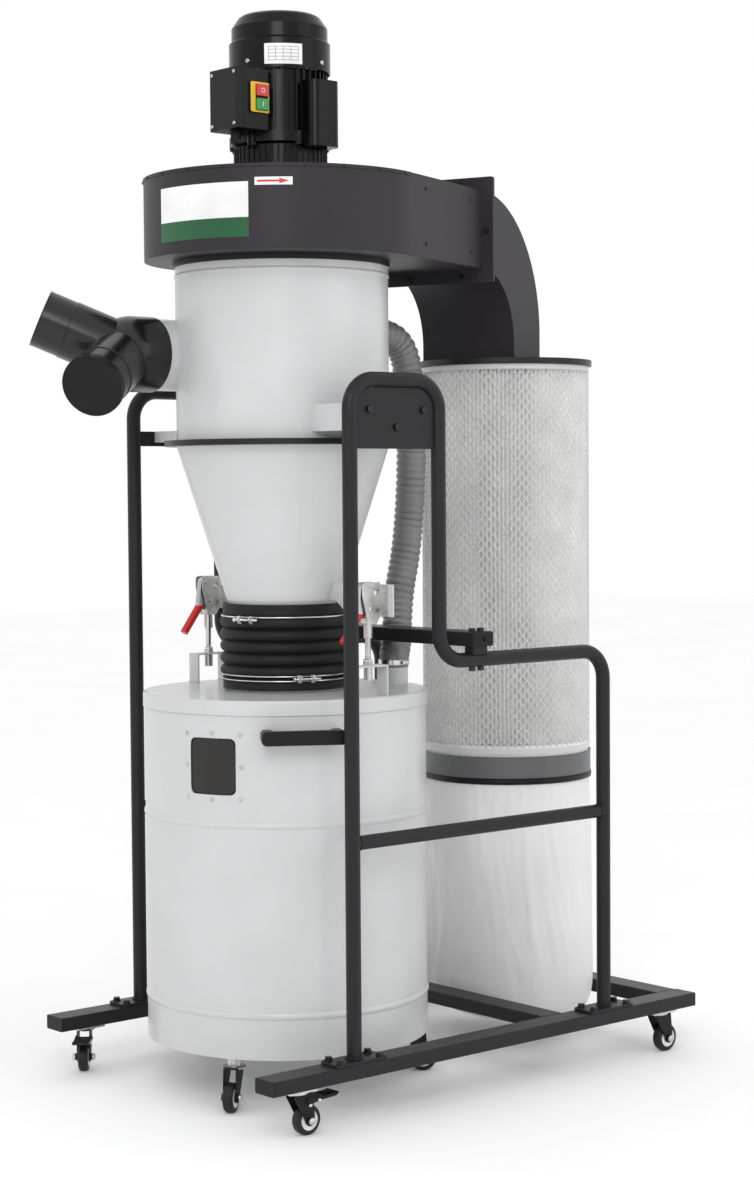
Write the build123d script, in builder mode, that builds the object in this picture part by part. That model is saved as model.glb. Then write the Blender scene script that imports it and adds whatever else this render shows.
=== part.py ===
"""Two-stage mobile dust collector: cyclone over a roll-out drum, blower on top, filter and bag behind.

Frame: +X along the base rails from the inlet end to the filter end, +Y towards the far rail,
+Z up, floor at z = 0, origin under the centre of the whole machine.  Millimetres.
"""
from build123d import *
import math
import os

os.makedirs("parts", exist_ok=True)

# ---------------------------------------------------------------- datum axes
CYCLONE_X = -151.0                 # cyclone, drum, blower and motor axis
FILTER_X = CYCLONE_X + 540.0       # filter cartridge axis
BAG_X = CYCLONE_X + 531.0          # bag bottom, centred between the cross rails

# ---------------------------------------------------------------- base
BASE_LEFT = CYCLONE_X - 293.0
BASE_LENGTH = 1000.0
RAIL_W = 50.0
RAIL_H = 25.0
RAIL_WALL = 2.0
RAIL_BOTTOM = 78.5
RAIL_TOP = RAIL_BOTTOM + RAIL_H
RAIL_Y = 308.0
MIDDLE_RAIL_X = CYCLONE_X + 380.0
REAR_RAIL_X = BASE_LEFT + BASE_LENGTH - RAIL_W / 2
END_CAP_T = 3.0

# ---------------------------------------------------------------- tube frames
TUBE_R = 12.7
TUBE_WALL = 1.5
TUBE_BEND = 50.0
LEFT_LEG_X = CYCLONE_X - 105.0
MIDDLE_LEG_X = CYCLONE_X + 90.0
RIGHT_LEG_X = CYCLONE_X + 487.0
FRAME_TOP_Z = 1229.0
SHELF_TUBE_Z = 755.0
GRAB_RAIL_Z = 465.0
FOOT_L = 112.0
FOOT_T = 5.0
FOOT_BOLT_X = 42.0
FOOT_BOLT_Y = 16.0
PLATE_T = 4.0
GUSSET_BOTTOM = 1115.0
FAR_BAR_Z = (1130.0, 1157.0)
BRACE_X = CYCLONE_X + 175.0
BRACE_BOLT = 10.0
BRACE_Z = 778.0
SADDLE_Z = SHELF_TUBE_Z + TUBE_R

# ---------------------------------------------------------------- cyclone
BARREL_R = 187.0
SHELL_T = 2.0
CONE_TOP_Z = 1125.0
FLANGE_T = 10.0
BARREL_Z = (CONE_TOP_Z + FLANGE_T, 1436.0)
FLANGE_R = 208.5
SPIGOT_R = 100.0
CONE_BOTTOM_Z = 850.0
SPIGOT_BOTTOM_Z = 800.0
VORTEX_R = 75.0
VORTEX_BOTTOM_Z = 1215.0
INLET_Y = 122.0
INLET_Z = 1285.0
INLET_R = 62.5
INLET_END_X = CYCLONE_X - 232.0
HOSE_PORT_Z = 1332.0
HOSE_PORT_R = 25.0
HOSE_PORT_END_X = CYCLONE_X + 205.0

# ---------------------------------------------------------------- inlet wye
WYE_MOUTH_X = CYCLONE_X - 197.0
WYE_BODY_X = CYCLONE_X - 240.0
WYE_APEX_X = CYCLONE_X - 250.0
WYE_SOCKET_R = 65.5
BRANCH_R = 50.0
BRANCH_ROOT_R = 51.0
BRANCH_LENGTH = 156.0
CUFF_LENGTH = 50.0                 # free end of a branch that takes a hose cuff
BRANCH_ANGLE = 39.5
WYE_TILT = 38.0
WYE_WALL = 2.5

# ---------------------------------------------------------------- blower and outlet
BLOWER_Z = (1446.0, 1587.0)
OUTLET_ANGLE = 21.5                # outlet direction, from +X towards +Y
SCROLL_NEAR = 255.0                # near wall of the outlet duct, from the axis
DUCT_FAR = 65.0                    # far wall of the outlet duct, from the axis
FLANGE_U = 290.0                   # outlet flange plane, from the axis
FLANGE_N = (45.0, 276.0)
FLANGE_Z = (1421.0, 1611.0)
FLANGE_PLATE_T = 4.0
ELBOW_OUTER_R = 245.0
ELBOW_INNER_R = 128.0
IMPELLER_R = 150.0

# ---------------------------------------------------------------- filter and bag
FILTER_TOP_Z = 1289.0
FILTER_PLATE_T = 11.0
FILTER_PLATE_R = 165.0
MEDIA_R = 157.0
MEDIA_INNER_R = 118.0
MESH_R = 159.5
COLLAR_Z = (500.0, 562.0)
CUFF_Z = (502.0, 551.0)
BAND_Z = (510.0, 549.0)
BAG_R = 158.5
BAG_T = 1.5
BAG_SIDES = 40
BAG_BOTTOM_Z = 40.0

# ---------------------------------------------------------------- motor
MOTOR_R = 84.0
BELL_Z = (BLOWER_Z[1], 1665.0)
BELL_R = 87.0
BODY_TOP_Z = 1772.0
COWL_R = 88.5
COWL_STEP_Z = 1826.0
COWL_RING_Z = 1850.0
MOTOR_TOP_Z = 1872.0
SHAFT_R = 9.5
RUNNING = 0.05                     # radial clearance of a shaft in its bore
SWITCH_X = (CYCLONE_X - 138.5, CYCLONE_X - 72.5)
SWITCH_Y = (-59.0, 21.0)
SWITCH_Z = (1663.0, 1766.0)
BUTTON_X = CYCLONE_X - 89.0
STOP_Z = 1728.5
START_Z = 1705.0
BUTTON_W = 26.0
BUTTON_H = 20.0

# ---------------------------------------------------------------- drum and lid
DRUM_R = 248.5
DRUM_T = 1.5
DRUM_BOTTOM_Z = 91.0
DRUM_TOP_Z = 694.6
BEAD_Z = (165.0, 487.0)
LID_R = 251.0
LID_TOP_Z = 697.0
LID_SKIRT_Z = 672.0
WINDOW_AZIMUTH = 201.7
WINDOW_Z = 585.0
WINDOW_W = 88.0
WINDOW_H = 95.0
HANDLE_AZIMUTH = 238.0
HANDLE_Z = 638.0
COLLAR_TOP_Z = 735.0
LID_PORT = (CYCLONE_X + 209.0, -53.0)
LID_PORT_TOP_Z = 727.0

# ---------------------------------------------------------------- sleeve and clamps
SLEEVE_Z = (701.0, 850.0)
SLEEVE_R = 112.0
SLEEVE_INNER_R = SPIGOT_R + 0.4
UPPER_CLAMP_Z = 824.0
LOWER_CLAMP_Z = 722.0
CLAMP_Y = 227.0
CLAMP_PLATE_X = CYCLONE_X + 20.0
CLAMP_PLATE_Z = (832.0, 887.0)
CLAMP_PIVOT_X = CYCLONE_X - 12.0
CLAMP_PIVOT_Z = 881.0
GRIP_START = (CYCLONE_X - 20.0, 836.0)
GRIP_END = (CYCLONE_X - 55.0, 789.0)
ROD_R = 5.0
ROD_TOP_Z = 845.0
BRACKET_TOP_Z = 750.0

# ---------------------------------------------------------------- casters
WHEEL_R = 25.0
WHEEL_W = 18.0
TRAIL = 20.0
FORK_TOP_Z = 75.0
AXLE_R = 4.0
KINGPIN_R = 5.0
CASTERS = {                        # kingpin x, y and the direction that the fork trails in
    "near_left": (BASE_LEFT + 65.0, -RAIL_Y, 0.0),
    "far_left": (BASE_LEFT + 65.0, RAIL_Y, 230.0),
    "near_right": (BASE_LEFT + 922.0, -RAIL_Y, 0.0),
    "far_right": (BASE_LEFT + 922.0, RAIL_Y, 200.0),
    "drum_near_left": (CYCLONE_X - 200.0, -105.0, 215.0),
    "drum_near_right": (CYCLONE_X + 200.0, -105.0, 325.0),
    "drum_far": (CYCLONE_X, 226.0, 60.0),
}
BRAKED = ("near_left", "far_left")
PEDAL_PIN = (16.0, 58.0)           # trail and height of the pin that the brake pedal turns on
PEDAL_PIN_R = 2.5

# ---------------------------------------------------------------- return hose
HOSE_R = 27.5
HOSE_ROUTE = [
    (HOSE_PORT_END_X, 0.0, HOSE_PORT_Z),
    (CYCLONE_X + 243.0, 0.0, HOSE_PORT_Z),
    (CYCLONE_X + 279.0, 0.0, HOSE_PORT_Z - 22.0),
    (CYCLONE_X + 294.0, -1.0, HOSE_PORT_Z - 68.0),
    (CYCLONE_X + 299.0, -3.0, HOSE_PORT_Z - 150.0),
    (CYCLONE_X + 293.0, -8.0, 1060.0),
    (CYCLONE_X + 276.0, -14.0, 940.0),
    (CYCLONE_X + 250.0, -21.0, 862.0),
    (CYCLONE_X + 239.0, -28.0, 806.0),
    (CYCLONE_X + 230.0, -37.0, 771.0),
    (LID_PORT[0], LID_PORT[1], 746.0),
    (LID_PORT[0], LID_PORT[1], LID_PORT_TOP_Z),
]


def level(z, x=CYCLONE_X, y=0.0):
    """A horizontal plane at height z, centred on the cyclone axis unless told otherwise."""
    return Plane((x, y, z))


def section(x=CYCLONE_X, y=0.0):
    """The vertical plane through an axis, for profiles drawn as (radius, height)."""
    return Plane(origin=(x, y, 0.0), x_dir=(1, 0, 0), z_dir=(0, -1, 0))


def axis_at(x=CYCLONE_X, y=0.0):
    return Axis((x, y, 0.0), (0, 0, 1))


def save(builder, name):
    builder.part.label = name
    export_step(builder.part, f"parts/{name}.step")
    print(f"{name:22s} {len(builder.part.solids()):3d} solids {builder.part.volume / 1000:10.1f} cm3")


def ring(outer, inner, bottom, top, x=CYCLONE_X):
    """One plain ring around a vertical axis, added to the part being built."""
    with BuildSketch(level(bottom, x)) as face:
        Circle(outer)
        Circle(inner, mode=Mode.SUBTRACT)
    extrude(face.sketch, amount=top - bottom)


# ================================================================ base frame
def base_rails():
    inner_w = RAIL_W - 2 * RAIL_WALL
    inner_h = RAIL_H - 2 * RAIL_WALL
    centre_z = RAIL_BOTTOM + RAIL_H / 2
    span = 2 * (RAIL_Y - RAIL_W / 2)
    with BuildPart() as rails:
        with BuildSketch(Plane.YZ.offset(BASE_LEFT + END_CAP_T)):
            with Locations((-RAIL_Y, centre_z), (RAIL_Y, centre_z)):
                RectangleRounded(RAIL_W, RAIL_H, 3)
                RectangleRounded(inner_w, inner_h, 1.5, mode=Mode.SUBTRACT)
        extrude(amount=BASE_LENGTH - 2 * END_CAP_T)
        with BuildSketch(Plane.XZ.offset(span / 2)):
            with Locations((MIDDLE_RAIL_X, centre_z), (REAR_RAIL_X - END_CAP_T, centre_z)):
                RectangleRounded(RAIL_W, RAIL_H, 3)
                RectangleRounded(inner_w, inner_h, 1.5, mode=Mode.SUBTRACT)
        extrude(amount=-span)
        for foot in foot_places():
            with BuildSketch(level(RAIL_TOP - RAIL_WALL - 1, *foot)):
                with GridLocations(2 * FOOT_BOLT_X, 2 * FOOT_BOLT_Y, 2, 2):
                    Circle(4.2)
            extrude(amount=RAIL_WALL + 2, mode=Mode.SUBTRACT)
    save(rails, "base_rails")


def rail_end_caps():
    centre_z = RAIL_BOTTOM + RAIL_H / 2
    insert = 12.0
    ends = (BASE_LEFT, BASE_LEFT + BASE_LENGTH - END_CAP_T)
    with BuildPart() as caps:
        for end in ends:
            inwards = 1 if end == BASE_LEFT else -1
            with BuildSketch(Plane.YZ.offset(end)):
                with Locations((-RAIL_Y, centre_z), (RAIL_Y, centre_z)):
                    RectangleRounded(RAIL_W, RAIL_H, 3)
            extrude(amount=END_CAP_T)
            start = end + END_CAP_T if inwards > 0 else end
            with BuildSketch(Plane.YZ.offset(start)):
                with Locations((-RAIL_Y, centre_z), (RAIL_Y, centre_z)):
                    RectangleRounded(RAIL_W - 2 * RAIL_WALL - 0.4, RAIL_H - 2 * RAIL_WALL - 0.4, 1.3)
            extrude(amount=inwards * insert)
    save(caps, "rail_end_caps")


def foot_places():
    return [(x, side * RAIL_Y) for x in (LEFT_LEG_X, RIGHT_LEG_X) for side in (-1, 1)]


def tube_frame(side, name):
    """One bent tube with its grab rail welded across; side is -1 near, +1 far."""
    foot_z = RAIL_TOP + FOOT_T
    corners = [
        (LEFT_LEG_X, foot_z),
        (LEFT_LEG_X, FRAME_TOP_Z),
        (MIDDLE_LEG_X, FRAME_TOP_Z),
        (MIDDLE_LEG_X, SHELF_TUBE_Z),
        (RIGHT_LEG_X, SHELF_TUBE_Z),
        (RIGHT_LEG_X, foot_z),
    ]
    plane = Plane.XZ.offset(-side * RAIL_Y)
    with BuildPart() as frame:
        with BuildLine(plane) as path:
            FilletPolyline(*corners, radius=TUBE_BEND)
        with BuildSketch(level(foot_z, LEFT_LEG_X, side * RAIL_Y)):
            Circle(TUBE_R)
        sweep(path=path.line)
        with BuildSketch(Plane.YZ.offset(LEFT_LEG_X)):
            with Locations((side * RAIL_Y, GRAB_RAIL_Z)):
                Circle(TUBE_R - 0.7)
        extrude(amount=RIGHT_LEG_X - LEFT_LEG_X)
        with BuildSketch(level(foot_z, LEFT_LEG_X, side * RAIL_Y)):
            Circle(TUBE_R - TUBE_WALL)
        sweep(path=path.line, mode=Mode.SUBTRACT)
        with BuildSketch(level(SHELF_TUBE_Z - 20, BRACE_X, side * RAIL_Y)):
            with GridLocations(2 * BRACE_BOLT, 0, 2, 1):
                Circle(4.2)
        extrude(amount=40, mode=Mode.SUBTRACT)
    save(frame, name)


def frame_plates():
    """Foot plates, the bolted gusset in the near frame and the bar in the far frame."""
    inset = TUBE_R + 0.05
    gusset_left = LEFT_LEG_X + inset
    gusset_right = MIDDLE_LEG_X - inset
    gusset_top = FRAME_TOP_Z - inset
    width = gusset_right - gusset_left
    middle = (gusset_left + gusset_right) / 2
    with BuildPart() as plates:
        for foot in foot_places():
            with BuildSketch(level(RAIL_TOP, *foot)):
                RectangleRounded(FOOT_L, RAIL_W - 2, 8)
                with GridLocations(2 * FOOT_BOLT_X, 2 * FOOT_BOLT_Y, 2, 2):
                    Circle(4.2, mode=Mode.SUBTRACT)
            extrude(amount=FOOT_T)
        with BuildSketch(Plane.XZ.offset(RAIL_Y - PLATE_T / 2)):
            with Locations((middle, (GUSSET_BOTTOM + gusset_top) / 2)):
                Rectangle(width, gusset_top - GUSSET_BOTTOM)
            top_corners = vertices().group_by(Axis.Y)[-1]
            fillet(top_corners, TUBE_BEND - TUBE_R + 0.5)
            with Locations(*gusset_bolts()):
                Circle(4.2, mode=Mode.SUBTRACT)
        extrude(amount=PLATE_T)
        with BuildSketch(Plane.XZ.offset(-RAIL_Y - PLATE_T / 2)):
            with Locations((middle, sum(FAR_BAR_Z) / 2)):
                Rectangle(width, FAR_BAR_Z[1] - FAR_BAR_Z[0])
            with Locations(*far_bar_bolts()):
                Circle(4.2, mode=Mode.SUBTRACT)
        extrude(amount=PLATE_T)
    save(plates, "frame_plates")


def gusset_bolts():
    return [(CYCLONE_X - 65, 1180), (CYCLONE_X + 54, 1180), (CYCLONE_X - 5, 1151)]


def far_bar_bolts():
    return [(CYCLONE_X - 45, 1147), (CYCLONE_X + 35, 1147)]


def outlet_bolts():
    """Outlet flange bolts, as (n from the axis towards the near side, height)."""
    return [(105, 1432), (211, 1432), (263, 1513), (56, 1513), (211, 1599), (105, 1599)]


def bolt(plane, head_r, head_h, shank_r, shank_l, washer_r=0.0):
    """A hex bolt whose washer or head sits on the plane, shank going against its normal."""
    washer_h = 1.6 if washer_r else 0.0
    if washer_r:
        with BuildSketch(plane) as washer:
            Circle(washer_r)
        extrude(washer.sketch, amount=washer_h)
    with BuildSketch(plane.offset(washer_h)) as head:
        RegularPolygon(head_r, 6)
    extrude(head.sketch, amount=head_h)
    with BuildSketch(plane) as shank:
        Circle(shank_r)
    extrude(shank.sketch, amount=-shank_l)


def bolts():
    """All frame and blower fasteners, each a separate solid."""
    with BuildPart() as group:
        for x, y in foot_places():
            for dx in (-FOOT_BOLT_X, FOOT_BOLT_X):
                for dy in (-FOOT_BOLT_Y, FOOT_BOLT_Y):
                    bolt(level(RAIL_TOP + FOOT_T, x + dx, y + dy), 6.5, 5, 4, 12, 7.8)
        near_face = RAIL_Y + PLATE_T / 2
        for x, z in gusset_bolts():
            bolt(Plane(origin=(x, -near_face, z), z_dir=(0, -1, 0)), 6.5, 4.5, 4, 14)
        for x, z in far_bar_bolts():
            bolt(Plane(origin=(x, near_face, z), z_dir=(0, 1, 0)), 6.5, 4.5, 4, 14)
        for side in (-1, 1):
            for dx in (-BRACE_BOLT, BRACE_BOLT):
                place = (BRACE_X + dx, side * RAIL_Y, BRACE_Z + RAIL_H)
                bolt(Plane(place), 6.5, 6, 4, 64)
                with BuildSketch(Plane((place[0], place[1], SHELF_TUBE_Z - TUBE_R - 7))):
                    RegularPolygon(6.5, 6)
                extrude(amount=6.9)
        for n, z in outlet_bolts():
            bolt(outlet_cross(FLANGE_U - FLANGE_PLATE_T, n, z, -1), 5.5, 4, 3, 11)
    save(group, "bolts")


def cross_brace():
    """The flat tube across both frames, with a saddle under each end."""
    half = RAIL_Y + 16
    with BuildPart() as brace:
        with BuildSketch(Plane.XZ.offset(half)):
            with Locations((BRACE_X, BRACE_Z + RAIL_H / 2)):
                RectangleRounded(RAIL_W, RAIL_H, 3)
        extrude(amount=-2 * half)
        for side in (-1, 1):
            with BuildSketch(level(SADDLE_Z - 4, BRACE_X, side * RAIL_Y)):
                RectangleRounded(34, 24, 3)
            extrude(amount=BRACE_Z - SADDLE_Z + 4)
            with BuildSketch(Plane.YZ.offset(BRACE_X - 30)):
                with Locations((side * RAIL_Y, SHELF_TUBE_Z)):
                    Circle(TUBE_R + 0.05)
            extrude(amount=60, mode=Mode.SUBTRACT)
            with BuildSketch(level(SHELF_TUBE_Z, BRACE_X, side * RAIL_Y)):
                with GridLocations(2 * BRACE_BOLT, 0, 2, 1):
                    Circle(4.2)
            extrude(amount=60, mode=Mode.SUBTRACT)
        hollow = 2 * (RAIL_Y - 30)
        with BuildSketch(Plane.XZ.offset(hollow / 2)):
            with Locations((BRACE_X, BRACE_Z + RAIL_H / 2)):
                RectangleRounded(RAIL_W - 2 * RAIL_WALL, RAIL_H - 2 * RAIL_WALL, 1.5)
        extrude(amount=-hollow, mode=Mode.SUBTRACT)
    save(brace, "cross_brace")


# ================================================================ cyclone
def barrel():
    """The cyclone barrel with its tangential inlet, return port and mounting arms."""
    bottom, top = BARREL_Z
    bead_z = top - 16
    near_arm = mounting_arm(-1, 73, (1146, 1192), gusset_bolts())
    far_arm = mounting_arm(1, 60, (bottom + 2, 1157), far_bar_bolts())
    with BuildPart() as shell:
        with BuildSketch(section()):
            with BuildLine():
                Polyline((0, bottom), (BARREL_R, bottom), (BARREL_R, bead_z - 4))
                ThreePointArc((BARREL_R, bead_z - 4), (BARREL_R + 1.6, bead_z), (BARREL_R, bead_z + 4))
                Polyline((BARREL_R, bead_z + 4), (BARREL_R, top), (0, top), (0, bottom))
            make_face()
        revolve(axis=axis_at())
        with BuildSketch(Plane.YZ.offset(INLET_END_X)):
            with Locations((INLET_Y, INLET_Z)):
                Circle(INLET_R)
        extrude(amount=CYCLONE_X - INLET_END_X)
        with BuildSketch(Plane.YZ.offset(CYCLONE_X)):
            with Locations((0, HOSE_PORT_Z)):
                Circle(HOSE_PORT_R)
        extrude(amount=HOSE_PORT_END_X - CYCLONE_X)
        with BuildSketch(level(bottom)):
            Circle(BARREL_R - SHELL_T)
        extrude(amount=top - bottom, mode=Mode.SUBTRACT)
        with BuildSketch(Plane.YZ.offset(INLET_END_X)):
            with Locations((INLET_Y, INLET_Z)):
                Circle(INLET_R - SHELL_T)
        extrude(amount=CYCLONE_X - INLET_END_X, mode=Mode.SUBTRACT)
        with BuildSketch(Plane.YZ.offset(CYCLONE_X)):
            with Locations((0, HOSE_PORT_Z)):
                Circle(HOSE_PORT_R - SHELL_T)
        extrude(amount=HOSE_PORT_END_X - CYCLONE_X, mode=Mode.SUBTRACT)
        add(near_arm)
        add(far_arm)
    save(shell, "barrel")


def mounting_arm(side, half_width, heights, holes):
    """A folded box arm from the barrel out to the frame plate, open underneath."""
    low, high = heights
    outer_y = RAIL_Y - PLATE_T / 2
    root_y = math.sqrt(BARREL_R ** 2 - half_width ** 2) - 1
    length = outer_y - root_y
    middle_y = side * (outer_y + root_y) / 2
    with BuildPart() as box:
        with BuildSketch(level(low, CYCLONE_X, middle_y)):
            Rectangle(2 * half_width, length)
        extrude(amount=high - low)
        with BuildSketch(level(low, CYCLONE_X, middle_y - side * 2)):
            Rectangle(2 * half_width - 5, length - 1)
        extrude(amount=high - low - 2.5, mode=Mode.SUBTRACT)
        with BuildSketch(level(low)):
            Circle(BARREL_R - 0.5)
        extrude(amount=high - low, mode=Mode.SUBTRACT)
        with BuildSketch(Plane.XZ.offset(-side * (outer_y - 10))):
            with Locations(*holes):
                Circle(4.2)
        extrude(amount=-side * 20, mode=Mode.SUBTRACT)
    return box.part


def barrel_flanges():
    """The flat ring joining barrel and cone, and the closing plate under the blower."""
    with BuildPart() as flanges:
        ring(FLANGE_R, BARREL_R - SHELL_T, CONE_TOP_Z, BARREL_Z[0])
        ring(BARREL_R + 3, VORTEX_R, BARREL_Z[1], BLOWER_Z[0])
    save(flanges, "barrel_flanges")


def cone():
    """The cone with its outlet spigot and the two welded clamp plates."""
    inner = SPIGOT_R - SHELL_T
    with BuildPart() as shell:
        with BuildSketch(section()):
            with BuildLine():
                Polyline(
                    (0, SPIGOT_BOTTOM_Z), (SPIGOT_R, SPIGOT_BOTTOM_Z), (SPIGOT_R, CONE_BOTTOM_Z),
                    (BARREL_R, CONE_TOP_Z), (0, CONE_TOP_Z), (0, SPIGOT_BOTTOM_Z),
                )
            make_face()
        revolve(axis=axis_at())
        for side in (-1, 1):
            with BuildSketch(Plane.YZ.offset(CLAMP_PLATE_X)):
                with BuildLine():
                    Polyline(
                        (side * 60, CLAMP_PLATE_Z[0] + 24), (side * 118, CLAMP_PLATE_Z[0] + 24),
                        (side * 150, CLAMP_PLATE_Z[0]),
                        (side * 268, CLAMP_PLATE_Z[0]), (side * 268, CLAMP_PLATE_Z[1]),
                        (side * 60, CLAMP_PLATE_Z[1]), (side * 60, CLAMP_PLATE_Z[0] + 24),
                    )
                make_face()
            extrude(amount=PLATE_T)
        with BuildSketch(section()):
            with BuildLine():
                Polyline(
                    (0, SPIGOT_BOTTOM_Z), (inner, SPIGOT_BOTTOM_Z), (inner, CONE_BOTTOM_Z + 1),
                    (BARREL_R - SHELL_T, CONE_TOP_Z), (0, CONE_TOP_Z), (0, SPIGOT_BOTTOM_Z),
                )
            make_face()
        revolve(axis=axis_at(), mode=Mode.SUBTRACT)
    save(shell, "cone")


def vortex_tube():
    with BuildPart() as tube:
        ring(VORTEX_R - 0.05, VORTEX_R - 2, VORTEX_BOTTOM_Z, BLOWER_Z[0])
    save(tube, "vortex_tube")


# ================================================================ inlet
def branch_direction(side):
    """Unit vector out of a wye branch: side -1 is the near, lower one, +1 the far, upper one."""
    spread = math.radians(BRANCH_ANGLE)
    tilt = math.radians(WYE_TILT)
    return Vector(
        -math.cos(spread),
        side * math.sin(spread) * math.cos(tilt),
        side * math.sin(spread) * math.sin(tilt),
    )


def branch_plane(side, distance):
    """The plane across a branch, at a distance out from the point where the branches meet."""
    out = branch_direction(side)
    return Plane(origin=Vector(WYE_APEX_X, INLET_Y, INLET_Z) + out * distance, z_dir=out)


def inlet_wye():
    """The moulded wye: a socket over the barrel's inlet, a round body and two hose branches."""
    socket = Plane(origin=(WYE_MOUTH_X, INLET_Y, INLET_Z), z_dir=(-1, 0, 0))
    reach = WYE_MOUTH_X - WYE_BODY_X
    spare = 30.0
    with BuildPart() as wye:
        with BuildSketch(socket):
            Circle(WYE_SOCKET_R)
        extrude(amount=reach)
        with Locations(socket.offset(reach)):
            Sphere(WYE_SOCKET_R)
        for side in (-1, 1):
            with BuildSketch(branch_plane(side, 0)):
                Circle(BRANCH_ROOT_R)
            extrude(amount=BRANCH_LENGTH - CUFF_LENGTH)
            with BuildSketch(branch_plane(side, BRANCH_LENGTH - CUFF_LENGTH)):
                Circle(BRANCH_R)
            extrude(amount=CUFF_LENGTH)
        with BuildSketch(socket.offset(-spare)):
            Circle(WYE_SOCKET_R + 1)
        extrude(amount=spare, mode=Mode.SUBTRACT)
        with BuildSketch(socket):
            Circle(INLET_R + 0.3)
        extrude(amount=reach, mode=Mode.SUBTRACT)
        with Locations(socket.offset(reach)):
            Sphere(WYE_SOCKET_R - WYE_WALL, mode=Mode.SUBTRACT)
        for side in (-1, 1):
            with BuildSketch(branch_plane(side, 0)):
                Circle(BRANCH_R - WYE_WALL)
            extrude(amount=BRANCH_LENGTH, mode=Mode.SUBTRACT)
    save(wye, "inlet_wye")


def inlet_cap():
    """The push-on cap that closes the near branch."""
    skirt = 12.0
    with BuildPart() as cap:
        with BuildSketch(branch_plane(-1, BRANCH_LENGTH + 0.2)):
            Circle(BRANCH_R + 3)
        extrude(amount=2.5)
        with BuildSketch(branch_plane(-1, BRANCH_LENGTH + 0.2 - skirt)):
            Circle(BRANCH_R + 3)
            Circle(BRANCH_R + 0.3, mode=Mode.SUBTRACT)
        extrude(amount=skirt)
        with BuildSketch(branch_plane(-1, BRANCH_LENGTH + 0.2)):
            with Locations((0, BRANCH_R + 6)):
                RectangleRounded(12, 10, 3)
        extrude(amount=2.5)
    save(cap, "inlet_cap")


# ================================================================ blower
def outlet_plan(z):
    """Horizontal plane whose x runs along the outlet and -y towards the near side."""
    a = math.radians(OUTLET_ANGLE)
    return Plane(origin=(CYCLONE_X, 0, z), x_dir=(math.cos(a), math.sin(a), 0), z_dir=(0, 0, 1))


def outlet_side(n):
    """Vertical plane along the outlet, n from the axis towards the near side, drawn as (u, z)."""
    a = math.radians(OUTLET_ANGLE)
    near = Vector(math.sin(a), -math.cos(a), 0)
    origin = Vector(CYCLONE_X, 0, 0) + near * n
    return Plane(origin=origin, x_dir=(math.cos(a), math.sin(a), 0), z_dir=near)


def outlet_cross(u, n=0.0, z=0.0, facing=1):
    """Vertical plane across the outlet at u, facing along it; drawn as (n, z) when facing is 1."""
    a = math.radians(OUTLET_ANGLE)
    along = Vector(math.cos(a), math.sin(a), 0)
    near = Vector(math.sin(a), -math.cos(a), 0)
    origin = Vector(CYCLONE_X, 0, z) + along * u + near * n
    return Plane(origin=origin, x_dir=near * -facing, z_dir=along * facing)


def scroll_outline(inset):
    """The blower's plan outline: three arcs growing towards the outlet and its straight duct."""
    near = SCROLL_NEAR - inset
    far = DUCT_FAR + inset
    first = 249.0 - inset
    second = 240.0 - inset
    third = 231.0 - inset
    centre_1 = (0.0, -6.0)
    centre_2 = (-9.0, -6.0)
    centre_3 = (-9.0, 3.0)
    cut_y = -far
    cut_x = centre_3[0] + math.sqrt(third ** 2 - (cut_y - centre_3[1]) ** 2)
    mouth = FLANGE_U - FLANGE_PLATE_T
    half = math.sqrt(0.5)
    third_end = math.atan2(cut_y - centre_3[1], cut_x - centre_3[0])
    third_mid = (third_end + math.pi / 2) / 2
    with BuildLine() as outline:
        Line((mouth, -near), (0, -near))
        ThreePointArc(
            (0, -near), (centre_1[0] - first * half, centre_1[1] - first * half), (-first, centre_1[1])
        )
        ThreePointArc(
            (-first, centre_2[1]), (centre_2[0] - second * half, centre_2[1] + second * half),
            (centre_2[0], centre_2[1] + second),
        )
        ThreePointArc(
            (centre_3[0], centre_3[1] + third),
            (centre_3[0] + third * math.cos(third_mid), centre_3[1] + third * math.sin(third_mid)),
            (cut_x, cut_y),
        )
        Line((cut_x, cut_y), (mouth, cut_y))
        Line((mouth, cut_y), (mouth, -near))
    make_face(outline.edges())


def blower_housing():
    """The scroll pan with its inlet eye and the flange that its outlet bolts to."""
    bottom, top = BLOWER_Z
    low, high = FLANGE_Z
    plate = outlet_cross(FLANGE_U - FLANGE_PLATE_T)
    with BuildPart() as housing:
        with BuildSketch(outlet_plan(bottom)):
            scroll_outline(0)
        extrude(amount=top - SHELL_T - bottom)
        with BuildSketch(outlet_plan(bottom + SHELL_T)):
            scroll_outline(SHELL_T)
        extrude(amount=top - bottom, mode=Mode.SUBTRACT)
        with BuildSketch(level(bottom)):
            Circle(VORTEX_R - 2)
        extrude(amount=SHELL_T, mode=Mode.SUBTRACT)
        with BuildSketch(plate):
            with Locations((-sum(FLANGE_N) / 2, (low + high) / 2)):
                RectangleRounded(FLANGE_N[1] - FLANGE_N[0], high - low, 4)
            with Locations((-(SCROLL_NEAR + DUCT_FAR) / 2, (bottom + top) / 2)):
                Rectangle(SCROLL_NEAR - DUCT_FAR - 2 * SHELL_T, top - bottom - 2 * SHELL_T, mode=Mode.SUBTRACT)
            with Locations(*[(-n, z) for n, z in outlet_bolts()]):
                Circle(3.2, mode=Mode.SUBTRACT)
        extrude(amount=FLANGE_PLATE_T)
    save(housing, "blower_housing")


def blower_cover():
    """The scroll's flat top, with the hole that the motor shaft comes through."""
    with BuildPart() as cover:
        with BuildSketch(outlet_plan(BLOWER_Z[1] - SHELL_T)):
            scroll_outline(0)
            Circle(30, mode=Mode.SUBTRACT)
        extrude(amount=SHELL_T)
    save(cover, "blower_cover")


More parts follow.
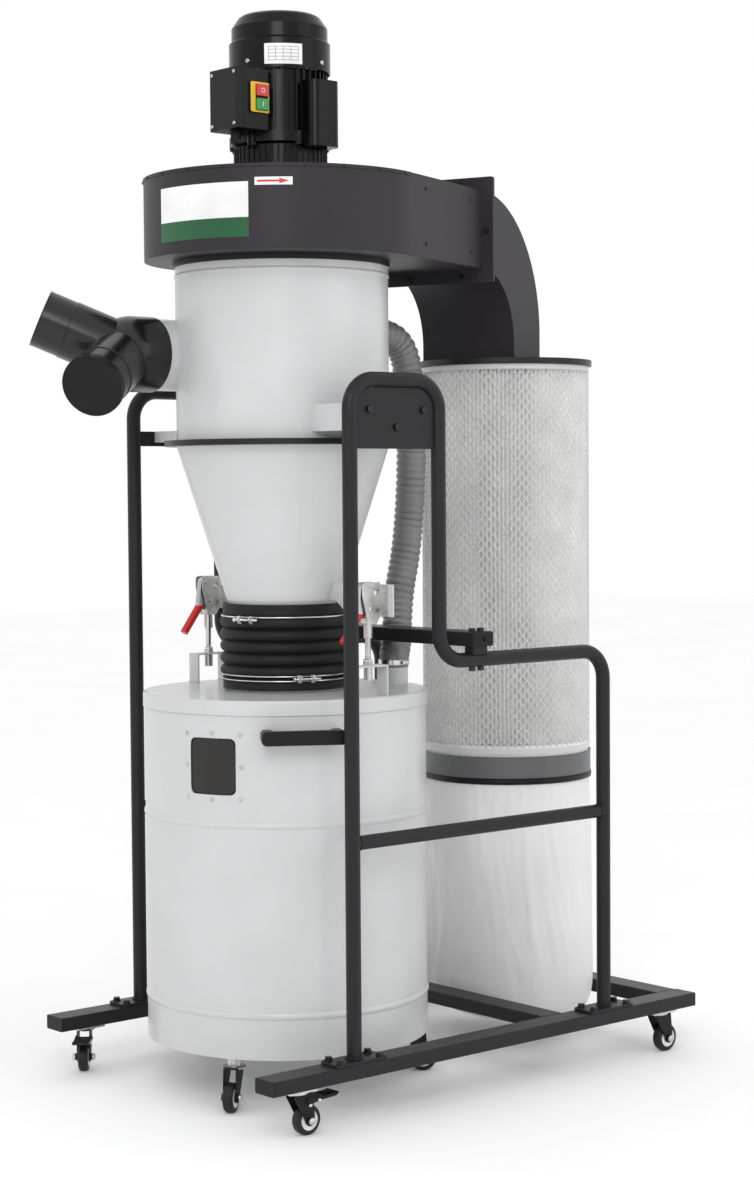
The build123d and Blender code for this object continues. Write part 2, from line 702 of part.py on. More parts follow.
def elbow_profile(inset):
    """The elbow's side view in (u, z): flat at the flange, turning down to the filter."""
    bottom, top = BLOWER_Z
    outer = ELBOW_OUTER_R - inset
    inner = ELBOW_INNER_R + inset
    start = FLANGE_U + FLANGE_PLATE_T - 1
    outer_z = top - ELBOW_OUTER_R
    inner_z = bottom - ELBOW_INNER_R
    half = math.sqrt(0.5)
    with BuildLine() as outline:
        Line((start, bottom + inset), (start, top - inset))
        ThreePointArc(
            (start, outer_z + outer), (start + outer * half, outer_z + outer * half), (start + outer, outer_z)
        )
        Line((start + outer, outer_z), (start + outer, FILTER_TOP_Z))
        Line((start + outer, FILTER_TOP_Z), (start + inner, FILTER_TOP_Z))
        Line((start + inner, FILTER_TOP_Z), (start + inner, inner_z))
        ThreePointArc(
            (start + inner, inner_z), (start + inner * half, inner_z + inner * half), (start, inner_z + inner)
        )
    make_face(outline.edges())


def outlet_elbow():
    """The rectangular elbow from the blower's flange down to the filter's top plate."""
    low, high = FLANGE_Z
    width = SCROLL_NEAR - DUCT_FAR
    with BuildPart() as elbow:
        with BuildSketch(outlet_cross(FLANGE_U)):
            with Locations((-sum(FLANGE_N) / 2, (low + high) / 2)):
                RectangleRounded(FLANGE_N[1] - FLANGE_N[0], high - low, 4)
            with Locations(*[(-n, z) for n, z in outlet_bolts()]):
                Circle(3.2, mode=Mode.SUBTRACT)
        extrude(amount=3)
        with BuildSketch(outlet_side(DUCT_FAR)):
            elbow_profile(0)
        extrude(amount=width)
        with BuildSketch(outlet_side(DUCT_FAR + SHELL_T)):
            elbow_profile(SHELL_T)
        extrude(amount=width - 2 * SHELL_T, mode=Mode.SUBTRACT)
        with BuildSketch(outlet_cross(FLANGE_U)):
            with Locations((-(SCROLL_NEAR + DUCT_FAR) / 2, sum(BLOWER_Z) / 2)):
                Rectangle(width - 2 * SHELL_T, BLOWER_Z[1] - BLOWER_Z[0] - 2 * SHELL_T)
        extrude(amount=3, mode=Mode.SUBTRACT)
    save(elbow, "outlet_elbow")


def impeller():
    """Backplate, hub and backward-leaning blades, hung from the motor shaft."""
    low, high = 1468.0, 1548.0
    with BuildPart() as wheel:
        with BuildSketch(level(high)):
            Circle(IMPELLER_R)
            Circle(SHAFT_R, mode=Mode.SUBTRACT)
        extrude(amount=3)
        ring(28, SHAFT_R, low + 20, high)
        with BuildSketch(level(low)):
            with PolarLocations(95, 8):
                Rectangle(90, 2.5, rotation=-35)
        extrude(amount=high - low)
    save(wheel, "impeller")


# ================================================================ motor
def motor_bell():
    """The motor's drive end bell, seated on the blower cover."""
    bottom, top = BELL_Z
    with BuildPart() as bell:
        with BuildSketch(section()):
            with BuildLine():
                Polyline(
                    (SHAFT_R + RUNNING, bottom), (80, bottom), (80, top - 22), (BELL_R, top - 18),
                    (BELL_R, top), (64, top), (64, top - 14), (40, bottom + 12),
                    (SHAFT_R + RUNNING, bottom + 12), (SHAFT_R + RUNNING, bottom),
                )
            make_face()
        revolve(axis=axis_at())
    save(bell, "motor_bell")


def motor_frame():
    """The finned stator frame."""
    bottom = BELL_Z[1]
    with BuildPart() as frame:
        with BuildSketch(level(bottom)):
            Circle(77)
            with PolarLocations(79, 40):
                Rectangle(10, 2.6)
            Circle(66, mode=Mode.SUBTRACT)
        extrude(amount=BODY_TOP_Z - bottom)
    save(frame, "motor_frame")


def motor_cowl():
    """The fan cowl: a stepped cup with a chamfered shoulder and a flat, slotted top."""
    wall = 2.0
    ring_r = COWL_R - 4.5
    crown = 66.0
    with BuildPart() as cowl:
        with BuildSketch(section()):
            with BuildLine():
                Polyline(
                    (COWL_R - wall, BODY_TOP_Z), (COWL_R, BODY_TOP_Z), (COWL_R, COWL_STEP_Z - 3),
                    (ring_r, COWL_STEP_Z + 1), (ring_r, COWL_RING_Z), (crown + 6, MOTOR_TOP_Z - 4),
                    (crown, MOTOR_TOP_Z), (0, MOTOR_TOP_Z), (0, MOTOR_TOP_Z - wall),
                    (crown - 1, MOTOR_TOP_Z - wall), (crown + 4.5, MOTOR_TOP_Z - 5.5),
                    (ring_r - wall, COWL_RING_Z - 1), (ring_r - wall, COWL_STEP_Z),
                    (COWL_R - wall, COWL_STEP_Z - 4), (COWL_R - wall, BODY_TOP_Z),
                )
            make_face()
        revolve(axis=axis_at())
        with BuildSketch(level(MOTOR_TOP_Z - wall - 1)):
            with PolarLocations(36, 18):
                SlotOverall(34, 3.2)
        extrude(amount=wall + 2, mode=Mode.SUBTRACT)
    save(cowl, "motor_cowl")


def motor_rotor():
    """Shaft, rotor core and cooling fan, turning as one."""
    with BuildPart() as rotor:
        with BuildSketch(level(1476)):
            Circle(SHAFT_R)
        extrude(amount=1822 - 1476)
        with BuildSketch(level(1682)):
            Circle(58)
        extrude(amount=78)
        with BuildSketch(level(1786)):
            Circle(72)
        extrude(amount=3)
        with BuildSketch(level(1789)):
            with PolarLocations(46, 9):
                Rectangle(48, 2.5)
        extrude(amount=22)
    save(rotor, "motor_rotor")


def switch_box():
    """Switch box on the motor's side, with a raised plate and two button wells."""
    x0, x1 = SWITCH_X
    y0, y1 = SWITCH_Y
    z0, z1 = SWITCH_Z
    face = Plane(origin=(0, y0, 0), x_dir=(1, 0, 0), z_dir=(0, -1, 0))
    with BuildPart() as box:
        with BuildSketch(level(z0, (x0 + x1) / 2, (y0 + y1) / 2)):
            Rectangle(x1 - x0, y1 - y0)
        extrude(amount=z1 - z0)
        fillet(box.edges().filter_by(Axis.Z).group_by(Axis.X)[0], 4)
        with BuildSketch(level(z0)):
            Circle(MOTOR_R + 0.4)
        extrude(amount=z1 - z0, mode=Mode.SUBTRACT)
        with BuildSketch(level(z0)):
            Circle(BELL_R + 0.4)
        extrude(amount=BELL_Z[1] + 0.4 - z0, mode=Mode.SUBTRACT)
        with BuildSketch(face):
            with Locations((BUTTON_X - 4, (STOP_Z + START_Z) / 2)):
                RectangleRounded(40, 52, 3)
        extrude(amount=3)
        with BuildSketch(face.offset(3)):
            with Locations((BUTTON_X, STOP_Z), (BUTTON_X, START_Z)):
                Rectangle(BUTTON_W + 0.6, BUTTON_H + 0.6)
        extrude(amount=-15, mode=Mode.SUBTRACT)
        with BuildSketch(level(z0, x0 + 26, (y0 + y1) / 2)):
            Circle(9)
        extrude(amount=-14)
        with BuildSketch(level(z0 - 14, x0 + 26, (y0 + y1) / 2)):
            RegularPolygon(10.5, 6)
        extrude(amount=-8)
    save(box, "switch_box")


def button(z, name):
    face = Plane(origin=(BUTTON_X, SWITCH_Y[0] - 3, z), x_dir=(1, 0, 0), z_dir=(0, -1, 0))
    with BuildPart() as cap:
        with BuildSketch(face.offset(-7)):
            RectangleRounded(BUTTON_W, BUTTON_H, 2)
        extrude(amount=12)
        fillet(cap.faces().sort_by(Axis.Y)[0].edges(), 1.2)
    save(cap, name)


def capacitor_cover():
    """Rounded cover of the run capacitor, on the motor's near side."""
    low, high = 1637.0, 1750.0
    with BuildPart() as cover:
        with BuildSketch(level(low)):
            with Locations((12, -96)):
                RectangleRounded(62, 42, 16)
            with Locations((12, -84)):
                Rectangle(62, 24)
            Circle(88, mode=Mode.SUBTRACT)
        extrude(amount=high - low)
        with BuildSketch(level(low + 40)):
            with Locations((12, -86)):
                Rectangle(40, 12)
            Circle(MOTOR_R + 0.3, mode=Mode.SUBTRACT)
        extrude(amount=40)
    save(cover, "capacitor_cover")


# ================================================================ filter and bag
def filter_plate():
    """Top plate of the filter with the opening under the elbow."""
    a = math.radians(OUTLET_ANGLE)
    centre_u = 540.0 * math.cos(a)
    centre_n = 540.0 * math.sin(a)
    start = FLANGE_U + FLANGE_PLATE_T - 1
    duct_u = start + (ELBOW_INNER_R + ELBOW_OUTER_R) / 2
    duct_n = (SCROLL_NEAR + DUCT_FAR) / 2
    with BuildPart() as plate:
        with BuildSketch(outlet_plan(FILTER_TOP_Z - FILTER_PLATE_T)):
            with Locations((duct_u, -duct_n)):
                Rectangle(ELBOW_OUTER_R - ELBOW_INNER_R - 2 * SHELL_T, SCROLL_NEAR - DUCT_FAR - 2 * SHELL_T)
            with Locations((centre_u, -centre_n)):
                Circle(MEDIA_INNER_R, mode=Mode.INTERSECT)
        extrude(amount=FILTER_PLATE_T)
        opening = plate.part
    with BuildPart() as disc:
        with BuildSketch(level(FILTER_TOP_Z - FILTER_PLATE_T, FILTER_X)):
            Circle(FILTER_PLATE_R)
        extrude(amount=FILTER_PLATE_T)
        add(opening, mode=Mode.SUBTRACT)
    save(disc, "filter_plate")


def filter_media():
    """The pleated cartridge as a plain ring, and its flared bottom collar."""
    top = FILTER_TOP_Z - FILTER_PLATE_T
    with BuildPart() as media:
        ring(MEDIA_R, MEDIA_INNER_R, COLLAR_Z[1], top, FILTER_X)
        ring(MEDIA_R - 1, MEDIA_R - 5, COLLAR_Z[0], COLLAR_Z[1], FILTER_X)
    save(media, "filter_media")


def filter_mesh():
    top = FILTER_TOP_Z - FILTER_PLATE_T
    with BuildPart() as mesh:
        ring(MESH_R, MESH_R - 1.8, COLLAR_Z[1] - 6, top, FILTER_X)
    save(mesh, "filter_mesh")


def bag_band():
    """Steel band that holds the bag's cuff on the filter collar."""
    outer = MEDIA_R + 2 + 1.8
    with BuildPart() as band:
        ring(outer, MEDIA_R + 2, BAND_Z[0], BAND_Z[1], FILTER_X)
        with BuildSketch(level(BAND_Z[0] + 8, FILTER_X, outer + 5)):
            Rectangle(30, 11)
        extrude(amount=22)
    save(band, "bag_band")


def bag_section(z, x, rx, ry):
    """One horizontal section of the bag: a many-sided ellipse."""
    turns = [2 * math.pi * k / BAG_SIDES for k in range(BAG_SIDES)]
    with BuildSketch(level(z, x)) as face:
        Polygon(*[(rx * math.cos(t), ry * math.sin(t)) for t in turns], align=None)
    return face.sketch


def bag_sections(inset, top):
    """The hanging bag: round at the cuff, flattened where it passes between the cross rails."""
    return [
        bag_section(top, FILTER_X, BAG_R - inset, BAG_R - inset),
        bag_section(CUFF_Z[0], FILTER_X, BAG_R - inset, BAG_R - inset),
        bag_section(440, FILTER_X, BAG_R + 2.5 - inset, BAG_R + 2.5 - inset),
        bag_section(130, BAG_X, 119 - inset, 210 - inset),
        bag_section(80, BAG_X, 118 - inset, 208 - inset),
        bag_section(BAG_BOTTOM_Z + 8, BAG_X, 108 - inset, 194 - inset),
        bag_section(BAG_BOTTOM_Z + inset, BAG_X, 88 - inset, 172 - inset),
    ]


def dust_bag():
    with BuildPart() as bag:
        loft(bag_sections(0, CUFF_Z[1]), ruled=True)
        loft(bag_sections(BAG_T, CUFF_Z[1] + 10), ruled=True, mode=Mode.SUBTRACT)
    save(bag, "dust_bag")


# ================================================================ drum and lid
def wall_plane(azimuth, radius, z):
    """Plane tangent to the drum at an azimuth, facing outwards, with its y axis up."""
    a = math.radians(azimuth)
    out = Vector(math.cos(a), math.sin(a), 0)
    origin = Vector(CYCLONE_X, 0, z) + out * radius
    return Plane(origin=origin, x_dir=(-math.sin(a), math.cos(a), 0), z_dir=out)


def drum():
    """The steel drum with two rolled beads and the window cut-out."""
    with BuildPart() as shell:
        with BuildSketch(section()):
            with BuildLine():
                points = [(0, DRUM_BOTTOM_Z), (DRUM_R, DRUM_BOTTOM_Z)]
                for bead in BEAD_Z:
                    Polyline(*points, (DRUM_R, bead - 6))
                    ThreePointArc((DRUM_R, bead - 6), (DRUM_R + 2.4, bead), (DRUM_R, bead + 6))
                    points = [(DRUM_R, bead + 6)]
                Polyline(*points, (DRUM_R, DRUM_TOP_Z), (0, DRUM_TOP_Z), (0, DRUM_BOTTOM_Z))
            make_face()
        revolve(axis=axis_at())
        with BuildSketch(level(DRUM_BOTTOM_Z + 14)):
            Circle(DRUM_R - DRUM_T)
        extrude(amount=DRUM_TOP_Z - DRUM_BOTTOM_Z, mode=Mode.SUBTRACT)
        with BuildSketch(level(DRUM_BOTTOM_Z)):
            Circle(DRUM_R - DRUM_T)
        extrude(amount=12, mode=Mode.SUBTRACT)
        with BuildSketch(wall_plane(WINDOW_AZIMUTH, DRUM_R - 40, WINDOW_Z)):
            RectangleRounded(WINDOW_W, WINDOW_H, 10)
        extrude(amount=60, mode=Mode.SUBTRACT)
    save(shell, "drum")


def drum_window():
    """The clear pane, curved to the inside of the drum wall."""
    with BuildPart() as pane:
        with BuildSketch(wall_plane(WINDOW_AZIMUTH, DRUM_R - 40, WINDOW_Z)):
            RectangleRounded(WINDOW_W + 22, WINDOW_H + 22, 12)
        extrude(amount=60)
        with BuildSketch(level(WINDOW_Z - WINDOW_H)):
            Circle(DRUM_R - DRUM_T - 0.1)
            Circle(DRUM_R - DRUM_T - 2.1, mode=Mode.SUBTRACT)
        extrude(amount=2 * WINDOW_H, mode=Mode.INTERSECT)
    save(pane, "drum_window")


def drum_handle():
    """The moulded bar handle, stood off the drum wall on two feet."""
    plane = wall_plane(HANDLE_AZIMUTH, DRUM_R, HANDLE_Z)
    reach = 40.0
    with BuildPart() as handle:
        with BuildSketch(plane.offset(reach - 13)):
            RectangleRounded(142, 24, 8)
        extrude(amount=13)
        with BuildSketch(plane.offset(-12)):
            with Locations((-58, 0), (58, 0)):
                RectangleRounded(22, 22, 7)
        extrude(amount=reach)
        with BuildSketch(level(HANDLE_Z - 20)):
            Circle(DRUM_R + 0.1)
        extrude(amount=40, mode=Mode.SUBTRACT)
    save(handle, "drum_handle")


def lid():
    """The drum lid with its skirt, sleeve collar, hose port and two clamp brackets."""
    with BuildPart() as cover:
        with BuildSketch(section()):
            with BuildLine():
                Polyline(
                    (0, LID_TOP_Z), (LID_R - 4, LID_TOP_Z),
                )
                ThreePointArc(
                    (LID_R - 4, LID_TOP_Z), (LID_R - 1.2, LID_TOP_Z - 1.2), (LID_R, LID_TOP_Z - 4)
                )
                Polyline(
                    (LID_R, LID_TOP_Z - 4), (LID_R, LID_SKIRT_Z), (LID_R - 1.8, LID_SKIRT_Z),
                    (LID_R - 1.8, LID_TOP_Z - 2), (0, LID_TOP_Z - 2), (0, LID_TOP_Z),
                )
            make_face()
        revolve(axis=axis_at())
        with BuildSketch(level(LID_TOP_Z - 2)):
            Circle(SPIGOT_R)
        extrude(amount=COLLAR_TOP_Z - LID_TOP_Z + 2)
        with BuildSketch(level(LID_TOP_Z - 2, *LID_PORT)):
            Circle(HOSE_PORT_R)
        extrude(amount=LID_PORT_TOP_Z - LID_TOP_Z + 2)
        with BuildSketch(level(LID_TOP_Z - 2)):
            Circle(SPIGOT_R - SHELL_T)
        extrude(amount=60, mode=Mode.SUBTRACT)
        with BuildSketch(level(LID_TOP_Z - 2, *LID_PORT)):
            Circle(HOSE_PORT_R - SHELL_T)
        extrude(amount=60, mode=Mode.SUBTRACT)
        for side in (-1, 1):
            with BuildSketch(Plane.XZ.offset(-side * CLAMP_Y - 13.5)):
                with Locations((CYCLONE_X, (LID_TOP_Z + BRACKET_TOP_Z) / 2)):
                    Rectangle(68, BRACKET_TOP_Z - LID_TOP_Z)
                with Locations((CYCLONE_X, (LID_TOP_Z + BRACKET_TOP_Z) / 2 - 1.5)):
                    Rectangle(62, BRACKET_TOP_Z - LID_TOP_Z - 3, mode=Mode.SUBTRACT)
            extrude(amount=27)
            with BuildSketch(level(BRACKET_TOP_Z - 4, CYCLONE_X, side * CLAMP_Y)):
                Circle(ROD_R)
            extrude(amount=6, mode=Mode.SUBTRACT)
    save(cover, "lid")


# ================================================================ sleeve, hose, toggle clamps
def sleeve():
    with BuildPart() as tube:
        ring(SLEEVE_R, SLEEVE_INNER_R, SLEEVE_Z[0], SLEEVE_Z[1])
    save(tube, "sleeve")


def sleeve_clamp(z, name):
    """A worm-drive hose clamp with its screw housing on the inlet side."""
    with BuildPart() as clamp:
        ring(SLEEVE_R + 1.6, SLEEVE_R + 0.1, z - 5, z + 5)
        with BuildSketch(level(z - 6, CYCLONE_X - SLEEVE_R - 6)):
            Rectangle(10, 22)
        extrude(amount=12)
    save(clamp, name)


def return_hose():
    """The hose from the barrel's port down to the lid's port, as one plain tube."""
    radii = []
    for before, corner, after in zip(HOSE_ROUTE, HOSE_ROUTE[1:], HOSE_ROUTE[2:]):
        run_in = Vector(corner) - Vector(before)
        run_out = Vector(after) - Vector(corner)
        turn = math.radians(run_in.get_angle(run_out))
        shorter = min(run_in.length, run_out.length)
        radii.append(0.45 * shorter / math.tan(turn / 2))
    print("hose bend radii", [round(radius) for radius in radii])
    first = Vector(HOSE_ROUTE[1]) - Vector(HOSE_ROUTE[0])
    with BuildPart() as hose:
        with BuildLine() as path:
            FilletPolyline(*HOSE_ROUTE, radius=radii)
        with BuildSketch(Plane(origin=HOSE_ROUTE[0], z_dir=first)):
            Circle(HOSE_R)
        sweep(path=path.line)
    length = path.wire().length
    ratio = hose.part.volume / (math.pi * HOSE_R ** 2 * length)
    print("hose length", round(length), "volume against section times length", round(ratio, 4))
    save(hose, "return_hose")


def clamp_bodies():
    """Toggle clamp bodies: base flange, two cheeks and the guide tube for the rod."""
    flange_x = CLAMP_PLATE_X - 2
    low, high = CLAMP_PLATE_Z
    cheek_out = CLAMP_PIVOT_X - 8
    with BuildPart() as bodies:
        for side in (-1, 1):
            y = side * CLAMP_Y
            with BuildSketch(Plane.YZ.offset(flange_x)):
                with Locations((y, (low + high) / 2)):
                    RectangleRounded(60, high - low, 4)
            extrude(amount=2)
            for cheek in (-1, 1):
                with BuildSketch(Plane.XZ.offset(-y - cheek * 10 - 1)):
                    with BuildLine():
                        Polyline(
                            (flange_x, low), (flange_x, high + 4), (cheek_out + 4, high + 4),
                            (cheek_out, high), (cheek_out, high - 18), (CYCLONE_X - 10, low - 6),
                            (CYCLONE_X - 10, low - 12), (CYCLONE_X + 10, low - 12), (flange_x, low),
                        )
                    make_face()
                extrude(amount=2)
            with BuildSketch(level(low - 36, CYCLONE_X, y)):
                Circle(8)
            extrude(amount=30)
            with BuildSketch(level(low - 11, CYCLONE_X, y)):
                Rectangle(18, 19)
            extrude(amount=9)
            with BuildSketch(level(low - 40, CYCLONE_X, y)):
                Circle(ROD_R + RUNNING)
            extrude(amount=60, mode=Mode.SUBTRACT)
            with BuildSketch(Plane.XZ.offset(-y - 13)):
                with Locations((CLAMP_PIVOT_X, CLAMP_PIVOT_Z)):
                    Circle(3)
            extrude(amount=26)
            for bolt_y in (-21, 21):
                for bolt_z in (low + 11, high - 11):
                    with BuildSketch(Plane(origin=(flange_x, y + bolt_y, bolt_z), z_dir=(-1, 0, 0))):
                        RegularPolygon(4.5, 6)
                    extrude(amount=3.5)
    save(bodies, "clamp_bodies")


def clamp_levers():
    """The two clamp levers with their ribbed grips, on one pivot line."""
    along = (Vector(GRIP_END[0], 0, GRIP_END[1]) - Vector(GRIP_START[0], 0, GRIP_START[1])).normalized()
    reach = math.hypot(GRIP_END[0] - GRIP_START[0], GRIP_END[1] - GRIP_START[1])
    with BuildPart() as levers:
        for side in (-1, 1):
            y = side * CLAMP_Y
            with BuildSketch(Plane.XZ.offset(-y - 6)):
                with Locations((CLAMP_PIVOT_X, CLAMP_PIVOT_Z)):
                    Circle(7)
                with Locations(GRIP_START):
                    Circle(5)
                make_hull()
            extrude(amount=12)
            start = Vector(GRIP_START[0], y, GRIP_START[1]) - along * 3
            with BuildSketch(Plane(origin=start, z_dir=along)):
                Circle(7.25)
            extrude(amount=reach + 3)
            with BuildSketch(Plane.XZ.offset(-y - 8)):
                with Locations((CLAMP_PIVOT_X, CLAMP_PIVOT_Z)):
                    Circle(3 + RUNNING)
            extrude(amount=16, mode=Mode.SUBTRACT)
    save(levers, "clamp_levers")


def clamp_plungers():
    """Rods of the toggle clamps, nutted through the lid's brackets."""
    with BuildPart() as rods:
        for side in (-1, 1):
            y = side * CLAMP_Y
            with BuildSketch(level(BRACKET_TOP_Z - 4, CYCLONE_X, y)):
                Circle(ROD_R - 0.01)
            extrude(amount=ROD_TOP_Z - BRACKET_TOP_Z + 4)
            with BuildSketch(level(BRACKET_TOP_Z, CYCLONE_X, y)):
                RegularPolygon(8.8, 6)
            extrude(amount=5)
            with BuildSketch(level(BRACKET_TOP_Z - 3 - 22, CYCLONE_X, y)):
                Circle(7.5)
            extrude(amount=22)
    save(rods, "clamp_plungers")


# ================================================================ casters
def caster_side(name, offset=0.0):
    """Vertical plane along a caster's trail, drawn as (trail, height)."""
    x, y, azimuth = CASTERS[name]
    a = math.radians(azimuth)
    side = Vector(math.sin(a), -math.cos(a), 0)
    origin = Vector(x, y, 0) + side * offset
    return Plane(origin=origin, x_dir=(math.cos(a), math.sin(a), 0), z_dir=side)


def caster_level(name, z, trail=0.0):
    x, y, azimuth = CASTERS[name]
    a = math.radians(azimuth)
    origin = (x + trail * math.cos(a), y + trail * math.sin(a), z)
    return Plane(origin=origin, x_dir=(math.cos(a), math.sin(a), 0), z_dir=(0, 0, 1))


def caster_mounts():
    """Top plates under the rails, stems under the drum, each with its riveted kingpin."""
    with BuildPart() as mounts:
        for name, (x, y, azimuth) in CASTERS.items():
            on_drum = name.startswith("drum")
            top = DRUM_BOTTOM_Z + 12 if on_drum else RAIL_BOTTOM
            with BuildSketch(level(FORK_TOP_Z + 0.4, x, y)):
                if on_drum:
                    Circle(12)
                else:
                    RectangleRounded(60, 46, 4)
            extrude(amount=top - FORK_TOP_Z - 0.4)
            with BuildSketch(level(FORK_TOP_Z - 6, x, y)):
                Circle(KINGPIN_R)
            extrude(amount=8)
            with BuildSketch(level(FORK_TOP_Z - 7, x, y)):
                Circle(8)
            extrude(amount=4.6)
    save(mounts, "caster_mounts")


def caster_fork(name):
    """Pressed fork: raceway plate, two cheeks and the axle bolt."""
    inner = WHEEL_W / 2 + 1.2
    with BuildPart() as fork:
        with BuildSketch(caster_level(name, FORK_TOP_Z - 2)):
            Circle(19)
            with Locations((8, 0)):
                RectangleRounded(34, 2 * inner + 4, 4)
            Circle(KINGPIN_R + RUNNING, mode=Mode.SUBTRACT)
        extrude(amount=2)
        for start in (inner, -inner - 2):
            with BuildSketch(caster_side(name, start)):
                with Locations((6, FORK_TOP_Z - 5)):
                    Rectangle(36, 10)
                with Locations((TRAIL, WHEEL_R)):
                    Circle(9)
                make_hull()
            extrude(amount=2)
        with BuildSketch(caster_side(name, -inner - 5)):
            with Locations((TRAIL, WHEEL_R)):
                Circle(AXLE_R)
        extrude(amount=2 * inner + 10)
        for start in (inner + 2, -inner - 5.5):
            with BuildSketch(caster_side(name, start)):
                with Locations((TRAIL, WHEEL_R)):
                    RegularPolygon(6, 6)
            extrude(amount=3.5)
        if name in BRAKED:
            with BuildSketch(caster_side(name, -20)):
                with Locations(PEDAL_PIN):
                    Circle(PEDAL_PIN_R + RUNNING)
            extrude(amount=40, mode=Mode.SUBTRACT)
    save(fork, f"{name}_fork")


def caster_wheel(name):
    """Tyre, rim and hub as one wheel, turning on the axle."""
    half = WHEEL_W / 2
    with BuildPart() as wheel:
        with BuildSketch(caster_side(name, -half)):
            with Locations((TRAIL, WHEEL_R)):
                Circle(WHEEL_R)
        extrude(amount=WHEEL_W)
        rims = wheel.edges().filter_by(GeomType.CIRCLE)
        fillet(rims, 5)
        for start in (-half, half - 3):
            with BuildSketch(caster_side(name, start)):
                with Locations((TRAIL, WHEEL_R)):
                    Circle(16)
                    Circle(8, mode=Mode.SUBTRACT)
            extrude(amount=3, mode=Mode.SUBTRACT)
        with BuildSketch(caster_side(name, -half)):
            with Locations((TRAIL, WHEEL_R)):
                Circle(AXLE_R + RUNNING)
        extrude(amount=WHEEL_W, mode=Mode.SUBTRACT)
    save(wheel, f"{name}_wheel")


def brake_pedal(name):
    """The brake's foot pedal: two arms beside the fork, the pin through it and the foot pad."""
    pin_x, pin_z = PEDAL_PIN
    arm_y = WHEEL_W / 2 + 1.2 + 2 + 0.5
    with BuildPart() as pedal:
        for start in (arm_y, -arm_y - 2):
            with BuildSketch(caster_side(name, start)):
                with Locations(PEDAL_PIN):
                    Circle(5.5)
                with Locations((40, pin_z + 1)):
                    Rectangle(12, 5)
                make_hull()
            extrude(amount=2)
        with BuildSketch(caster_side(name, -arm_y - 2)):
            with BuildLine():
                Polyline(
                    (31, pin_z - 1.5), (46, pin_z - 1.5), (72, pin_z), (78, pin_z + 4), (76, pin_z + 6.5),
                    (70, pin_z + 4), (31, pin_z + 4), (31, pin_z - 1.5),
                )
            make_face()
        extrude(amount=2 * arm_y + 4)
        with BuildSketch(caster_side(name, -arm_y - 3)):
            with Locations(PEDAL_PIN):
                Circle(PEDAL_PIN_R)
        extrude(amount=2 * arm_y + 6)
    save(pedal, f"{name}_brake_pedal")


def main():
    base_rails()
    rail_end_caps()
    tube_frame(-1, "tube_frame_near")
    tube_frame(1, "tube_frame_far")
    frame_plates()
    bolts()
    cross_brace()
    barrel()
    barrel_flanges()
    cone()
    vortex_tube()
    inlet_wye()
    inlet_cap()
    blower_housing()
    blower_cover()
    outlet_elbow()
    impeller()
    motor_bell()
    motor_frame()
    motor_cowl()
    motor_rotor()
    switch_box()
    button(STOP_Z, "stop_button")
    button(START_Z, "start_button")
    capacitor_cover()
    filter_plate()
    filter_media()
    filter_mesh()
    bag_band()
    dust_bag()
    drum()
    drum_window()
    drum_handle()
    lid()
    sleeve()
    sleeve_clamp(UPPER_CLAMP_Z, "upper_sleeve_clamp")
    sleeve_clamp(LOWER_CLAMP_Z, "lower_sleeve_clamp")
    return_hose()
    clamp_bodies()
    clamp_levers()
    clamp_plungers()
    caster_mounts()
    for name in CASTERS:
        caster_fork(name)
        caster_wheel(name)
    for name in BRAKED:
        brake_pedal(name)


main()
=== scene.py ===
import math

import bmesh
import bpy
from mathutils import Matrix, Vector, noise


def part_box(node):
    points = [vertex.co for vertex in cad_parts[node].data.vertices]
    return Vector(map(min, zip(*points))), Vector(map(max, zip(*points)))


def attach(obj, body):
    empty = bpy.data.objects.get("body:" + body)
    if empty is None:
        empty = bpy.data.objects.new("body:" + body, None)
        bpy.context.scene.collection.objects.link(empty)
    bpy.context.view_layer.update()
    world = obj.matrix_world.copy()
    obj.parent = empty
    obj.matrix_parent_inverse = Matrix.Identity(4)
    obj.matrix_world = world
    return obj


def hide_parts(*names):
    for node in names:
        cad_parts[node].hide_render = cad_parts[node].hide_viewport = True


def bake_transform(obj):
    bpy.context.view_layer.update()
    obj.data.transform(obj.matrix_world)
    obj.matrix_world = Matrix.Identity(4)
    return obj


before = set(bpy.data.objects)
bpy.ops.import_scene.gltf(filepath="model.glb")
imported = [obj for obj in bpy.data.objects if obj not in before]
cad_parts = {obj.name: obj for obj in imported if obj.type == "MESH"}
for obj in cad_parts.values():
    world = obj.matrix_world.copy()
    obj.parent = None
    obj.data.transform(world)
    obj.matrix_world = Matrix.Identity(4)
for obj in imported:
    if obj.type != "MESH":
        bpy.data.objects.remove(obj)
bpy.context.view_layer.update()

MM = 0.001
TAU = 2 * math.pi
UP = (0, 0, 1)
CYCLONE = Vector((-0.151, 0, 0))
FILTER = CYCLONE + Vector((0.540, 0, 0))
BAG = CYCLONE + Vector((0.531, 0, 0))
COWL_RADIUS = 0.0880
DRUM_RADIUS = 0.2485
CLAMP_REACH = 0.227


# ---- camera
def add_camera():
    """A standing view from the inlet end's near corner, a little above mid height."""
    place = CYCLONE + Vector((-2.575, -3.261, 1.049))
    lens = 70.55
    yaw, pitch, roll = math.radians(40.55), math.radians(2.71), math.radians(0.41)
    forward = Vector((math.sin(yaw) * math.cos(pitch), math.cos(yaw) * math.cos(pitch), -math.sin(pitch)))
    level_right = Vector((math.cos(yaw), -math.sin(yaw), 0))
    level_up = level_right.cross(forward)
    right = level_right * math.cos(roll) - level_up * math.sin(roll)
    up = right.cross(forward)
    data = bpy.data.cameras.new("camera")
    data.lens = lens
    camera = bpy.data.objects.new("camera", data)
    rotation = Matrix((right, up, -forward)).transposed().to_4x4()
    camera.matrix_world = Matrix.Translation(place) @ rotation
    bpy.context.collection.objects.link(camera)
    bpy.context.scene.camera = camera


